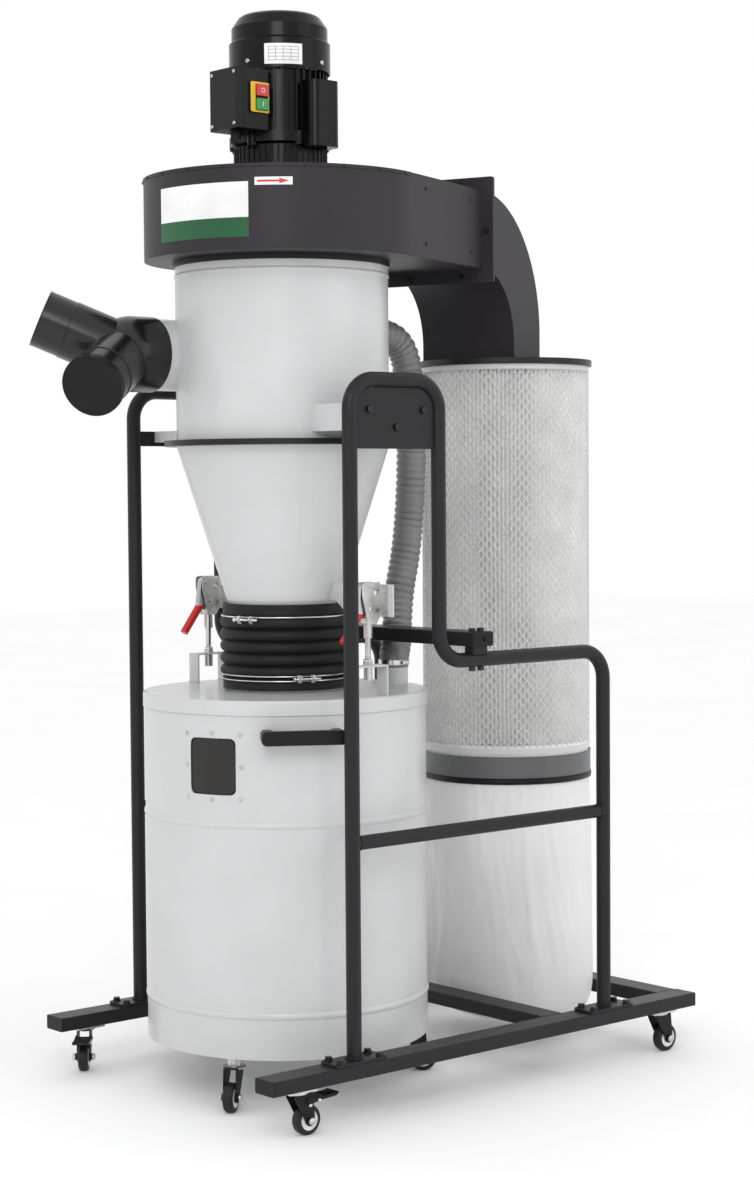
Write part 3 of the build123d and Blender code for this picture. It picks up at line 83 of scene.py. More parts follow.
# ---- material tools
class Nodes:
    """A short way to write a node tree."""

    def __init__(self, name):
        self.material = bpy.data.materials.new(name)
        self.material.use_nodes = True
        self.tree = self.material.node_tree
        self.shader = self.tree.nodes["Principled BSDF"]
        self.coordinates = self.tree.nodes.new("ShaderNodeTexCoord").outputs["Object"]

    def node(self, kind, inputs=None, **settings):
        """Add a node; an input is a value or another node's output."""
        made = self.tree.nodes.new(kind)
        for key, value in settings.items():
            setattr(made, key, value)
        for key, value in (inputs or {}).items():
            if isinstance(value, bpy.types.NodeSocket):
                self.tree.links.new(value, made.inputs[key])
            else:
                made.inputs[key].default_value = value
        return made

    def link(self, output, target):
        """Join an output to an input."""
        self.tree.links.new(output, target)

    def noise(self, scale, detail=4.0, roughness=0.55, stretch=(1, 1, 1)):
        """A grey noise in the object's own coordinates."""
        placed = self.node("ShaderNodeMapping", {"Vector": self.coordinates, "Scale": stretch})
        made = self.node(
            "ShaderNodeTexNoise",
            {"Vector": placed.outputs[0], "Scale": scale, "Detail": detail, "Roughness": roughness},
        )
        return made.outputs["Fac"]

    def ramp(self, value, low, high, start=0.35, end=0.65):
        """A value turned into a blend of two colours."""
        made = self.node("ShaderNodeValToRGB", {"Fac": value})
        made.color_ramp.elements[0].position = start
        made.color_ramp.elements[0].color = low
        made.color_ramp.elements[1].position = end
        made.color_ramp.elements[1].color = high
        return made.outputs["Color"]

    def math(self, operation, a, b=0.0):
        """One arithmetic step."""
        return self.node("ShaderNodeMath", {0: a, 1: b}, operation=operation).outputs[0]

    def span(self, value, low, high):
        """A value from 0 to 1 spread between two others."""
        made = self.node("ShaderNodeMapRange", {"Value": value, "To Min": low, "To Max": high})
        return made.outputs["Result"]

    def height(self, axis):
        """The object coordinate along X, Y or Z."""
        return self.node("ShaderNodeSeparateXYZ", {0: self.coordinates}).outputs[axis]

    def mix(self, factor, a, b):
        """A blend of two colours."""
        made = self.node("ShaderNodeMix", {0: factor, 6: a, 7: b}, data_type="RGBA")
        return made.outputs[2]

    def bump(self, value, strength, distance, edge=0.0):
        """Relief from a value, with edges rounded by the bevel radius."""
        inputs = {"Height": value, "Strength": strength, "Distance": distance}
        if edge:
            inputs["Normal"] = self.node("ShaderNodeBevel", {"Radius": edge}, samples=4).outputs[0]
        self.link(self.node("ShaderNodeBump", inputs).outputs[0], self.shader.inputs["Normal"])


def tint(color, factor):
    """A colour made lighter or darker, with full alpha."""
    return (color[0] * factor, color[1] * factor, color[2] * factor, 1.0)


def painted(
    name, color, rough, peel=0.25, scale=900.0, edge=0.0012, coat=0.0, dust=0.06, low_darkening=None, shine=0.5
):
    """Sprayed or powder-coated metal: fine orange peel, faint cloudiness, soft edges and a little dust."""
    m = Nodes(name)
    cloud = m.noise(3.5, 5.0)
    base = m.ramp(cloud, tint(color, 0.93), tint(color, 1.05))
    speck = m.noise(scale * 0.35, 3.0)
    base = m.mix(m.math("MULTIPLY", m.span(speck, 0.0, 1.0), dust), base, (0.5, 0.49, 0.47, 1.0))
    # Optional: below a given height the colour is mottled towards a darker tint, darkest at the bottom.
    if low_darkening:
        low, high, shade = low_darkening
        fade = m.node(
            "ShaderNodeMapRange",
            {"Value": m.height("Z"), "From Min": low, "From Max": high, "To Min": 1.0, "To Max": 0.0},
        )
        amount = m.math("MULTIPLY", fade.outputs["Result"], m.math("MULTIPLY", m.noise(9.0, 6.0), 0.5))
        base = m.mix(amount, base, tint(color, shade))
    m.link(base, m.shader.inputs["Base Color"])
    m.link(m.span(m.noise(14.0, 5.0), rough - 0.05, rough + 0.07), m.shader.inputs["Roughness"])
    m.shader.inputs["Coat Weight"].default_value = coat
    m.shader.inputs["Coat Roughness"].default_value = 0.12
    m.shader.inputs["Specular IOR Level"].default_value = shine
    m.bump(m.noise(scale, 2.0), peel, 0.0004, edge)
    return m.material


def moulded(name, color, rough, grain=0.25, scale=1400.0, coat=0.0, shine=0.5):
    """Moulded plastic or rubber: fine spark texture and slight sheen changes."""
    m = Nodes(name)
    m.link(m.ramp(m.noise(6.0), tint(color, 0.85), tint(color, 1.15)), m.shader.inputs["Base Color"])
    m.link(m.span(m.noise(25.0, 6.0), rough - 0.06, rough + 0.08), m.shader.inputs["Roughness"])
    m.shader.inputs["Coat Weight"].default_value = coat
    m.shader.inputs["Specular IOR Level"].default_value = shine
    m.bump(m.noise(scale, 2.0), grain, 0.0002, 0.0008)
    return m.material


def bare_metal(name, color, rough, stretch=(1, 1, 12)):
    """Zinc-plated or brushed steel with fine directional marks and dull patches."""
    m = Nodes(name)
    m.link(m.ramp(m.noise(30.0, 6.0), tint(color, 0.8), tint(color, 1.1)), m.shader.inputs["Base Color"])
    m.shader.inputs["Metallic"].default_value = 1.0
    m.link(m.span(m.noise(60.0, 6.0, 0.6, stretch), rough - 0.08, rough + 0.12), m.shader.inputs["Roughness"])
    m.bump(m.noise(500.0, 3.0, 0.6, stretch), 0.15, 0.0002, 0.0006)
    return m.material


def two_part(name, split, above, below, rough):
    """One material that changes colour at a height, for a steel arm dipped in a soft grip."""
    m = Nodes(name)
    top = m.math("GREATER_THAN", m.height("Z"), split)
    base = m.mix(top, tint(below, 1.0), tint(above, 1.0))
    wave = m.node("ShaderNodeTexWave", {"Vector": m.coordinates, "Scale": 75.0}, bands_direction="Z")
    m.link(base, m.shader.inputs["Base Color"])
    m.link(top, m.shader.inputs["Metallic"])
    m.link(m.span(m.noise(40.0), rough - 0.05, rough + 0.1), m.shader.inputs["Roughness"])
    ribs = m.math("MULTIPLY", wave.outputs["Fac"], m.math("SUBTRACT", 1.0, top))
    m.bump(ribs, 0.5, 0.0008, 0.0006)
    return m.material


def film(name, color):
    """Thin milky plastic film: light passes through it and it shines on its folds."""
    m = Nodes(name)
    m.link(m.ramp(m.noise(2.2, 5.0), tint(color, 0.94), tint(color, 1.04)), m.shader.inputs["Base Color"])
    m.link(m.span(m.noise(12.0), 0.34, 0.52), m.shader.inputs["Roughness"])
    m.shader.inputs["Subsurface Weight"].default_value = 0.25
    m.shader.inputs["Subsurface Radius"].default_value = (0.02, 0.02, 0.02)
    m.shader.inputs["Sheen Weight"].default_value = 0.15
    m.bump(m.noise(55.0, 6.0, 0.6, (1, 1, 0.35)), 0.22, 0.002)
    return m.material


def pleated(name, color):
    """Felted filter paper: fine fibres and a faint mottle."""
    m = Nodes(name)
    m.link(m.ramp(m.noise(18.0, 6.0), tint(color, 0.9), tint(color, 1.0)), m.shader.inputs["Base Color"])
    m.shader.inputs["Roughness"].default_value = 0.85
    m.shader.inputs["Sheen Weight"].default_value = 0.3
    m.bump(m.noise(800.0, 5.0, 0.7), 0.5, 0.0004)
    return m.material


def clear_pane(name):
    """Smoked polycarbonate with light scuffs."""
    m = Nodes(name)
    m.shader.inputs["Base Color"].default_value = (0.012, 0.010, 0.009, 1.0)
    m.link(m.span(m.noise(35.0, 8.0), 0.06, 0.2), m.shader.inputs["Roughness"])
    m.shader.inputs["Transmission Weight"].default_value = 0.25
    m.shader.inputs["IOR"].default_value = 1.5
    m.bump(m.noise(8.0, 2.0), 0.08, 0.001)
    return m.material


def make_materials():
    """Every material, by the short name the pieces use."""
    light_grey = (0.57, 0.575, 0.58)
    return {
        "frame": painted(
            "frame_powder_coat", (0.011, 0.010, 0.012), 0.38, 0.5, 1100.0, dust=0.01, shine=0.25
        ),
        "grey": painted("light_grey_enamel", light_grey, 0.33, 0.12, 700.0, 0.0015, 0.25, 0.03),
        # The drum's enamel turns darker towards its bottom.
        "drum_grey": painted(
            "drum_enamel", light_grey, 0.36, 0.12, 700.0, 0.0015, 0.2, 0.03, low_darkening=(0.09, 0.2, 0.8)
        ),
        "housing": painted(
            "housing_powder_coat", (0.026, 0.023, 0.027), 0.42, 0.45, 1000.0, 0.002, dust=0.01, shine=0.2
        ),
        "ring": painted("flange_black", (0.008, 0.008, 0.009), 0.35, 0.2, 900.0, dust=0.01, shine=0.3),
        "motor": painted(
            "motor_gloss_black", (0.0015, 0.0015, 0.002), 0.24, 0.3, 500.0, 0.0015, 0.12, 0.004, shine=0.15
        ),
        "wye": moulded("wye_plastic", (0.006, 0.006, 0.007), 0.26, 0.1, 500.0, 0.15, 0.4),
        "black": moulded("black_plastic", (0.004, 0.004, 0.005), 0.4, shine=0.25),
        "satin_black": moulded("grained_black_plastic", (0.006, 0.006, 0.007), 0.5, 0.6, 900.0, shine=0.25),
        "rubber": moulded("sleeve_rubber", (0.006, 0.006, 0.006), 0.55, 0.3, 700.0, shine=0.3),
        "tyre": moulded("tyre_rubber", (0.009, 0.009, 0.010), 0.45, 0.3, 900.0, shine=0.3),
        "rim": moulded("rim_nylon", (0.78, 0.78, 0.77), 0.35, 0.15, 600.0),
        "hose": moulded("hose_plastic", (0.18, 0.18, 0.184), 0.34, 0.2, 400.0, 0.15),
        "steel": bare_metal("zinc_plate", (0.62, 0.62, 0.61), 0.28),
        "bolt": bare_metal("black_oxide", (0.05, 0.05, 0.052), 0.35),
        "wire": bare_metal("bright_wire", (0.72, 0.72, 0.72), 0.2),
        "band": painted("band_grey", (0.095, 0.098, 0.104), 0.4, 0.2, 700.0),
        "mesh": painted("mesh_enamel", (0.58, 0.585, 0.59), 0.38, 0.15, 700.0, 0.0),
        "collar": moulded("collar_urethane", (0.74, 0.73, 0.70), 0.5, 0.3, 500.0),
        "media": pleated("filter_paper", (0.97, 0.97, 0.96)),
        "bag": film("bag_film", (0.74, 0.735, 0.74)),
        "pane": clear_pane("smoked_pane"),
        "grip": two_part("lever_steel_and_grip", 0.838, (0.6, 0.6, 0.6), (0.55, 0.012, 0.008), 0.32),
        "red": moulded("red_button", (0.55, 0.012, 0.010), 0.3, 0.1, 500.0, 0.3),
        "green": moulded("green_button", (0.012, 0.26, 0.05), 0.3, 0.1, 500.0, 0.3),
        "yellow": moulded("yellow_plate", (0.72, 0.46, 0.02), 0.38, 0.15, 700.0),
        "label": moulded("label_white", (0.80, 0.80, 0.80), 0.32, 0.05, 300.0),
        "label_green": moulded("label_green", (0.002, 0.085, 0.024), 0.32, 0.05, 300.0),
        "label_red": moulded("label_red", (0.55, 0.02, 0.02), 0.35, 0.05, 300.0),
        "label_grey": moulded("label_grey", (0.25, 0.25, 0.26), 0.4, 0.05, 300.0),
    }


NODE_MATERIALS = {
    "frame": ("base_rails", "tube_frame_near", "tube_frame_far", "frame_plates", "cross_brace"),
    "grey": ("barrel", "cone", "lid", "vortex_tube"),
    "drum_grey": ("drum",),
    "housing": ("blower_housing", "blower_cover", "outlet_elbow"),
    "ring": ("barrel_flanges", "filter_plate"),
    "motor": ("motor_frame", "motor_bell", "motor_cowl", "capacitor_cover"),
    "wye": ("inlet_wye",),
    "black": ("rail_end_caps", "switch_box", "drum_handle"),
    "steel": ("clamp_bodies", "clamp_plungers", "motor_rotor", "caster_mounts"),
    "bolt": ("bolts", "impeller"),
    "band": ("bag_band",),
    "pane": ("drum_window",),
    "grip": ("clamp_levers",),
    "red": ("stop_button",),
    "green": ("start_button",),
}


def paint_nodes(materials):
    """Each CAD node takes its material; forks, pedals and wheels go by the end of their names."""
    choice = {node: key for key, names in NODE_MATERIALS.items() for node in names}
    for name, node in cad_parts.items():
        key = choice.get(name, "black")
        if name.endswith("_wheel"):
            key = "tyre"
        if name.endswith("_fork") or name.endswith("_pedal"):
            key = "satin_black"
        if not node.material_slots:
            node.data.materials.append(materials[key])
        for slot in node.material_slots:
            slot.link = "OBJECT"
            slot.material = materials[key]


# ---- mesh tools
class Shape:
    """Vertices and faces gathered for one object."""

    def __init__(self):
        self.vertices = []
        self.faces = []

    def add(self, vertices, faces):
        """Take in points and the faces that join them."""
        start = len(self.vertices)
        self.vertices += [Vector(v) for v in vertices]
        self.faces += [tuple(start + i for i in face) for face in faces]

    def grid(self, rows, wrap_rows=False, wrap_columns=True):
        """Rows of points joined into quads."""
        count = len(rows[0])
        faces = []
        for i in range(len(rows) if wrap_rows else len(rows) - 1):
            j = (i + 1) % len(rows)
            for k in range(count if wrap_columns else count - 1):
                n = (k + 1) % count
                faces.append((i * count + k, i * count + n, j * count + n, j * count + k))
        self.add([p for row in rows for p in row], faces)

    def turned(self, profile, origin, axis=UP, segments=48, closed=False):
        """A profile of (radius, height) turned about an axis through the origin."""
        side, other, along = basis(axis)
        rows = []
        for radius, height in profile:
            row = []
            for k in range(segments):
                angle = TAU * k / segments
                around = side * math.cos(angle) + other * math.sin(angle)
                row.append(Vector(origin) + around * max(radius, 1e-5) + along * height)
            rows.append(row)
        self.grid(rows, wrap_rows=closed)

    def tube(self, points, radius, segments=12, radii=None, closed=False):
        """A round tube along points; radii gives its radius at each one."""
        rows = []
        side = None
        for i, point in enumerate(points):
            after = points[(i + 1) % len(points)] if closed or i < len(points) - 1 else point
            before = points[i - 1] if closed or i else point
            along = (after - before).normalized()
            if side is None:
                side = basis(along)[0]
            side = (side - along * side.dot(along)).normalized()
            other = along.cross(side)
            r = radii[i] if radii else radius
            turn = [TAU * k / segments for k in range(segments)]
            rows.append([point + side * (math.cos(t) * r) + other * (math.sin(t) * r) for t in turn])
        self.grid(rows, wrap_rows=closed)

    def object(self, name, material, body="frame", smooth=True, angle=None):
        """The finished piece, riding on a body; angle keeps sharper edges crisp."""
        mesh = bpy.data.meshes.new(name)
        mesh.from_pydata(self.vertices, [], self.faces)
        work = bmesh.new()
        work.from_mesh(mesh)
        bmesh.ops.recalc_face_normals(work, faces=work.faces)
        work.to_mesh(mesh)
        work.free()
        mesh.polygons.foreach_set("use_smooth", [smooth] * len(mesh.polygons))
        if angle:
            mesh.set_sharp_from_angle(angle=math.radians(angle))
        mesh.materials.append(material)
        made = bpy.data.objects.new(name, mesh)
        bpy.context.collection.objects.link(made)
        if body:
            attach(made, body)
        return made


def basis(axis):
    """Two directions square to an axis, then the axis itself, all of unit length."""
    along = Vector(axis).normalized()
    start = Vector((1, 0, 0)) if abs(along.x) < 0.9 else Vector((0, 1, 0))
    side = (start - along * start.dot(along)).normalized()
    return side, along.cross(side), along


def around(centre, radius, degrees, z):
    """A point on a circle about an upright axis, at a height."""
    angle = math.radians(degrees)
    return Vector((centre.x + radius * math.cos(angle), centre.y + radius * math.sin(angle), z))


def outward(degrees):
    """The level unit vector at an azimuth from +X."""
    angle = math.radians(degrees)
    return Vector((math.cos(angle), math.sin(angle), 0))


def dome_screw(shape, origin, axis, radius):
    """A pan-head screw with a sunk drive."""
    r = radius
    shape.turned(
        [
            (r, 0), (r, r * 0.25), (r * 0.85, r * 0.5), (r * 0.5, r * 0.62), (r * 0.38, r * 0.6),
            (r * 0.3, r * 0.3), (0, r * 0.3),
        ],
        origin, axis, 20,
    )


def hex_head(shape, origin, axis, radius, height):
    """A hexagon head with a chamfered top and a washer under it."""
    shape.turned(
        [(radius * 1.3, 0), (radius * 1.3, radius * 0.16), (radius * 0.9, radius * 0.2)], origin, axis, 24
    )
    shape.turned(
        [
            (radius, radius * 0.16), (radius, height * 0.8), (radius * 0.86, height),
            (radius * 0.5, height * 1.02), (0, height),
        ],
        origin, axis, 6,
    )


# ---- filter and bag
def filter_media(materials):
    """Deep paper pleats, their folds a little uneven, with the moulded collar under them."""
    pleats, rows = 120, 12
    bottom, top = 0.562, 1.278
    root_radius, pleat_depth = 0.1395, 0.0155
    shape = Shape()
    grid = []
    for i in range(rows + 1):
        z = bottom + (top - bottom) * i / rows
        row = []
        for k in range(pleats * 4):
            turn = 360.0 * k / (pleats * 4)
            phase = (k % 4) / 4
            depth = (0.5 + 0.5 * math.cos(TAU * phase)) ** 0.8
            wander = noise.noise(Vector((turn * 0.06, z * 6, 1.5))) * 0.25
            radius = root_radius + pleat_depth * depth
            row.append(around(FILTER, radius, turn + wander, z))
        grid.append(row)
    shape.grid(grid)
    media = shape.object("filter_pleats", materials["media"], angle=40)
    collar = Shape()
    collar.turned(
        [(0.1525, 0.500), (0.1560, 0.500), (0.1560, 0.549), (0.1578, 0.553), (0.1588, 0.558), (0.1588, 0.566),
         (0.1565, 0.570), (0.1400, 0.570), (0.1400, 0.560), (0.1525, 0.553)],
        FILTER, UP, 96, closed=True,
    )
    collar.object("filter_collar", materials["collar"], angle=35)
    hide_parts("filter_media")


def filter_mesh(materials):
    """Expanded-metal sleeve: a diamond lattice of ridged strands between two plain rims."""
    columns, rows = 72, 76
    bottom, top = 0.560, 1.272
    radius, half_width, ridge = 0.1584, 0.0009, 0.0007
    shape = Shape()
    step = (top - bottom) / rows
    for j in range(rows):
        for i in range(columns):
            first = 360.0 * (i + 0.5 * (j % 2)) / columns
            for lean in (-1, 1):
                second = first + lean * 180.0 / columns
                low, high = bottom + j * step, bottom + (j + 1) * step
                shape.add(*strand(first, second, low, high, radius, half_width, ridge))
    for low, high in ((bottom - 0.005, bottom + 0.004), (top - 0.004, top + 0.0055)):
        inner, outer = radius - 0.0008, radius + 0.0010
        shape.turned([(inner, low), (outer, low), (outer, high), (inner, high)], FILTER, UP, 96, closed=True)
    sleeve = shape.object("filter_mesh_sleeve", materials["mesh"], smooth=False)
    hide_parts("filter_mesh")


def strand(first, second, low, high, radius, half_width, ridge):
    """One strand from (first, low) to (second, high): two facets meeting at a raised ridge."""
    start, end = around(FILTER, radius, first, low), around(FILTER, radius, second, high)
    out = outward((first + second) / 2)
    across = (end - start).cross(out).normalized() * half_width
    points = [
        start - across, start + out * ridge, start + across, end - across, end + out * ridge, end + across,
    ]
    return points, [(0, 1, 4, 3), (1, 2, 5, 4)]


def bag_outline(z):
    """Centre x and half widths of the bag at a height."""
    neck_z, neck_radius = 0.44, 0.161
    belly_z, belly_x, belly_y = 0.13, 0.1185, 0.209
    if z > neck_z:
        radius = neck_radius - 0.0035 * (z - neck_z) / 0.062
        return FILTER.x, radius, radius
    if z > belly_z:
        part = (neck_z - z) / (neck_z - belly_z)
        ease = part * part * (3 - 2 * part) * 0.55 + part * 0.45
        x = FILTER.x + (BAG.x - FILTER.x) * ease
        return x, neck_radius + (belly_x - neck_radius) * ease, neck_radius + (belly_y - neck_radius) * ease
    part = min(1.0, (belly_z - z) / 0.09)
    shrink = math.sqrt(max(0.0, 1 - (part * 0.93) ** 2.6))
    return BAG.x, belly_x * (0.30 + 0.70 * shrink), belly_y * (0.42 + 0.58 * shrink)


def dust_bag(materials):
    """The hanging film bag: gathered under the band, with slack folds down to its full lower end."""
    columns, rows = 220, 110
    top, bottom = 0.551, 0.0415
    band_bottom, mouth_radius = 0.502, 0.1575
    shape = Shape()
    grid = []
    for i in range(rows + 1):
        part = i / rows
        z = top + (bottom - top) * part
        x, rx, ry = bag_outline(z) if z < band_bottom else (FILTER.x, mouth_radius, mouth_radius)
        slack = min(1.0, max(0.0, (0.50 - z) / 0.10)) * min(1.0, max(0.15, (z - 0.03) / 0.10))
        row = []
        for k in range(columns):
            angle = TAU * k / columns
            c, s = math.cos(angle), math.sin(angle)
            gather = 0.0007 * math.sin(angle * 46) * math.exp(-abs(z - 0.498) / 0.03)
            long_fold = noise.noise(Vector((c * 2.6, s * 2.6, z * 1.7 + 3))) * 0.0050
            crease = abs(noise.noise(Vector((c * 6.5 + z * 2.2, s * 6.5, z * 4.5)))) * 0.0042
            fine = noise.noise(Vector((c * 16, s * 16 + z * 9, z * 13))) * 0.0010
            push = slack * (long_fold - crease + fine) + gather
            row.append(Vector((x + c * (rx + push), s * (ry + push), z)))
        grid.append(row)
    shape.grid(grid)
    last = grid[-1]
    middle = Vector((BAG.x, 0, bottom + 0.001))
    floor_rows = []
    for shrink in (0.75, 0.5, 0.25, 0.03):
        floor_rows.append([middle + (p - middle) * shrink + Vector((0, 0, -0.0006)) for p in last])
    shape.grid([last] + floor_rows)
    bag = shape.object("dust_bag_film", materials["bag"], body=None)
    weld = bmesh.new()
    weld.from_mesh(bag.data)
    bmesh.ops.remove_doubles(weld, verts=weld.verts, dist=0.00005)
    weld.to_mesh(bag.data)
    weld.free()
    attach(bag, "frame")
    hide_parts("dust_bag")


def bag_band_details(materials):
    """The band's turned edges and the black sealing ring under it."""
    shape = Shape()
    for z in (0.5105, 0.5485):
        shape.turned(
            [(0.1606 + 0.0009 * math.cos(TAU * k / 8), z + 0.0012 * math.sin(TAU * k / 8)) for k in range(8)],
            FILTER, UP, 96, closed=True,
        )
    shape.object("bag_band_beads", materials["band"])
    seal = Shape()
    seal.turned(
        [(0.1588, 0.4975), (0.1618, 0.4985), (0.1625, 0.5035), (0.1618, 0.5085), (0.1588, 0.5090)],
        FILTER, UP, 96, closed=True,
    )
    seal.object("bag_seal", materials["black"])


# ---- sleeve, hose and hose clamps
def sleeve(materials):
    """Ribbed rubber sleeve."""
    bottom, top, ribs = 0.7010, 0.8500, 7
    cuff_radius, valley_radius, rib_height, bore = 0.1095, 0.1070, 0.0075, 0.1006
    outer = []
    steps = ribs * 8
    for i in range(steps + 1):
        part = i / steps
        z = bottom + (top - bottom) * part
        cuff = part < 0.09 or part > 0.87
        swell = abs(math.sin(math.pi * ribs * part)) ** 0.7
        outer.append((cuff_radius if cuff else valley_radius + rib_height * swell, z))
    inner = [(bore, top), (bore, bottom)]
    shape = Shape()
    shape.turned(outer + inner, CYCLONE, UP, 96, closed=True)
    made = shape.object("ribbed_sleeve", materials["rubber"], body=None, angle=50)
    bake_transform(made)
    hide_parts("sleeve")


def wire_clamp(name, node, z, body, azimuth, material):
    """A double-wire hose clamp drawn together by a screw through two square blocks."""
    shape = Shape()
    for dz in (-0.0042, 0.0042):
        ring = [around(CYCLONE, 0.1112, 360.0 * k / 96, z + dz) for k in range(96)]
        shape.tube(ring, 0.0015, 8, closed=True)
    out = outward(azimuth)
    side = Vector((-out.y, out.x, 0))
    seat = around(CYCLONE, 0.1165, azimuth, z)
    shape.tube([seat - side * 0.020, seat + side * 0.026], 0.0024, 10)
    for offset in (-0.012, 0.012):
        block = seat + side * offset
        shape.turned(
            [
                (0.0, -0.004), (0.0062, -0.004), (0.0070, -0.003), (0.0070, 0.003), (0.0062, 0.004),
                (0.0, 0.004),
            ],
            block, side, 4,
        )
    shape.turned(
        [(0.0, 0.0), (0.0048, 0.0), (0.0048, 0.0026), (0.0036, 0.004), (0.0, 0.0042)],
        seat - side * 0.024, side, 12,
    )
    made = shape.object(name, material, body=body, angle=35)
    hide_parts(node)


HOSE_ROUTE = [
    CYCLONE + Vector(point) * MM
    for point in (
        (205, 0, 1332), (243, 0, 1332), (279, 0, 1310), (294, -1, 1264), (299, -3, 1182), (293, -8, 1060),
        (276, -14, 940), (250, -21, 862), (239, -28, 806), (230, -37, 771), (209, -53, 746), (209, -53, 727),
    )
]


def smooth_route(route, spacing):
    """The quadratic curve that leaves each run at its middle, cut into even steps."""
    fine = [route[0]]
    for i in range(1, len(route) - 1):
        start = route[0] if i == 1 else (route[i - 1] + route[i]) / 2
        end = route[-1] if i == len(route) - 2 else (route[i] + route[i + 1]) / 2
        for k in range(1, 25):
            t = k / 24
            fine.append(start * (1 - t) ** 2 + route[i] * (2 * t * (1 - t)) + end * t * t)
    length = sum((b - a).length for a, b in zip(fine, fine[1:]))
    count = round(length / spacing)
    points, walked, j = [fine[0]], 0.0, 0
    for k in range(1, count):
        target = length * k / count
        while walked + (fine[j + 1] - fine[j]).length < target:
            walked += (fine[j + 1] - fine[j]).length
            j += 1
        part = (target - walked) / (fine[j + 1] - fine[j]).length
        points.append(fine[j].lerp(fine[j + 1], part))
    return points + [fine[-1]], length


def return_hose(materials):
    """Corrugated hose between the barrel's port and the lid's port, with a cuff at each end."""
    spacing, pitch, cuff_length = 0.0016, 0.0125, 0.022
    cuff_radius, valley_radius, ridge = 0.0262, 0.0240, 0.0034
    points, length = smooth_route(HOSE_ROUTE, spacing)
    radii = []
    for i in range(len(points)):
        walked = length * i / (len(points) - 1)
        cuff = min(walked, length - walked) < cuff_length
        swell = abs(math.sin(math.pi * walked / pitch)) ** 0.6
        radii.append(cuff_radius if cuff else valley_radius + ridge * swell)
    shape = Shape()
    shape.tube(points, 0.0, 36, radii)
    made = shape.object("corrugated_hose", materials["hose"], body=None, angle=60)
    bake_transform(made)
    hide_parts("return_hose")


def port_bands(materials):
    """Worm-drive bands on the hose's two cuffs."""
    places = [
        ("barrel_port_band", HOSE_ROUTE[0] + Vector((0.011, 0, 0)), (1, 0, 0), "frame"),
        ("lid_port_band", HOSE_ROUTE[-1] + Vector((0, 0, 0.009)), UP, "lid"),
    ]
    for name, centre, axis, body in places:
        shape = Shape()
        shape.turned(
            [(0.0266, -0.0045), (0.0278, -0.0045), (0.0278, 0.0045), (0.0266, 0.0045)],
            centre, axis, 48, closed=True,
        )
        side, other = basis(axis)[:2]
        seat = centre + other * -0.0305
        shape.turned([(0, -0.008), (0.0035, -0.008), (0.0035, 0.008), (0, 0.008)], seat, side, 12)
        shape.object(name, materials["wire"], body=body, angle=35)


# ---- wye and cap
def branch(side):
    """Unit vector out of a branch: side -1 is the near, lower one, +1 the far, upper one."""
    spread, tilt = math.radians(39.5), math.radians(38)
    return Vector(
        (
            -math.cos(spread),
            side * math.sin(spread) * math.cos(tilt),
            side * math.sin(spread) * math.sin(tilt),
        )
    )


WYE_APEX = CYCLONE + Vector((-250, 122, 1285)) * MM


def wye_details(materials):
    """The bead where each branch steps down to its cuff, and the open branch's lip."""
    shoulder, mouth = 0.106, 0.155
    shape = Shape()
    for side in (-1, 1):
        out = branch(side)
        shape.turned(
            [(0.0500, -0.0020), (0.0512, -0.0016), (0.0514, -0.0006), (0.0508, 0.0006), (0.0499, 0.0010)],
            WYE_APEX + out * shoulder, out, 64, closed=True,
        )
    out = branch(1)
    shape.turned(
        [(0.0474, -0.001), (0.0503, -0.001), (0.0506, 0.0), (0.0503, 0.0013), (0.0474, 0.0013)],
        WYE_APEX + out * mouth, out, 64, closed=True,
    )
    shape.object("wye_ribs", materials["wye"])


def cap_details(materials):
    """Knurled skirt and dished face of the push-on cap."""
    out = branch(-1)
    face = WYE_APEX + out * 0.1587
    side, other, along = basis(out)
    shape = Shape()
    teeth = 60
    rows = []
    skirt, knurl, rim, dish = 0.0531, 0.0007, 0.0528, 0.0505
    for height, radius, ripple in (
        (-0.0145, skirt, knurl), (-0.0135, skirt, knurl), (-0.003, skirt, knurl), (0.0, rim, 0.0),
        (0.0006, dish, 0.0),
    ):
        row = []
        for k in range(teeth * 4):
            angle = TAU * k / (teeth * 4)
            reach = radius + (ripple if k % 4 in (0, 1) else 0.0)
            row.append(face + (side * math.cos(angle) + other * math.sin(angle)) * reach + along * height)
        rows.append(row)
    shape.grid(rows)
    shape.turned([(dish, 0.0006), (0.045, 0.0006), (0.043, -0.0004), (0, -0.0004)], face, out, 64)
    shape.object("cap_knurl", materials["black"], body="cap", angle=40)


# ---- blower, motor and labels
OUTLET = math.radians(21.5)
ALONG = Vector((math.cos(OUTLET), math.sin(OUTLET), 0))
NEARWARD = Vector((math.sin(OUTLET), -math.cos(OUTLET), 0))


def scroll_point(degrees, z, lift=0.0):
    """A point on the scroll's wall; 0 is where its straight near side begins."""
    angle = math.radians(degrees)
    centre_u, radius = (0.0, 0.249) if degrees <= 90 else (-0.009, 0.240)
    u = centre_u - (radius + lift) * math.sin(angle)
    n = 0.006 + (radius + lift) * math.cos(angle)
    return CYCLONE + ALONG * u + NEARWARD * n + Vector((0, 0, z))


def scroll_label(name, start, end, low, high, material, lift=0.0004):
    """A thin sheet on the scroll, from one angle to another and from one height to another."""
    shape = Shape()
    steps = 32
    rows = []
    for k in range(steps + 1):
        degrees = start + (end - start) * k / steps
        rows.append([scroll_point(degrees, low, lift), scroll_point(degrees, high, lift)])
    shape.grid(rows, wrap_columns=False)
    return shape.object(name, material)


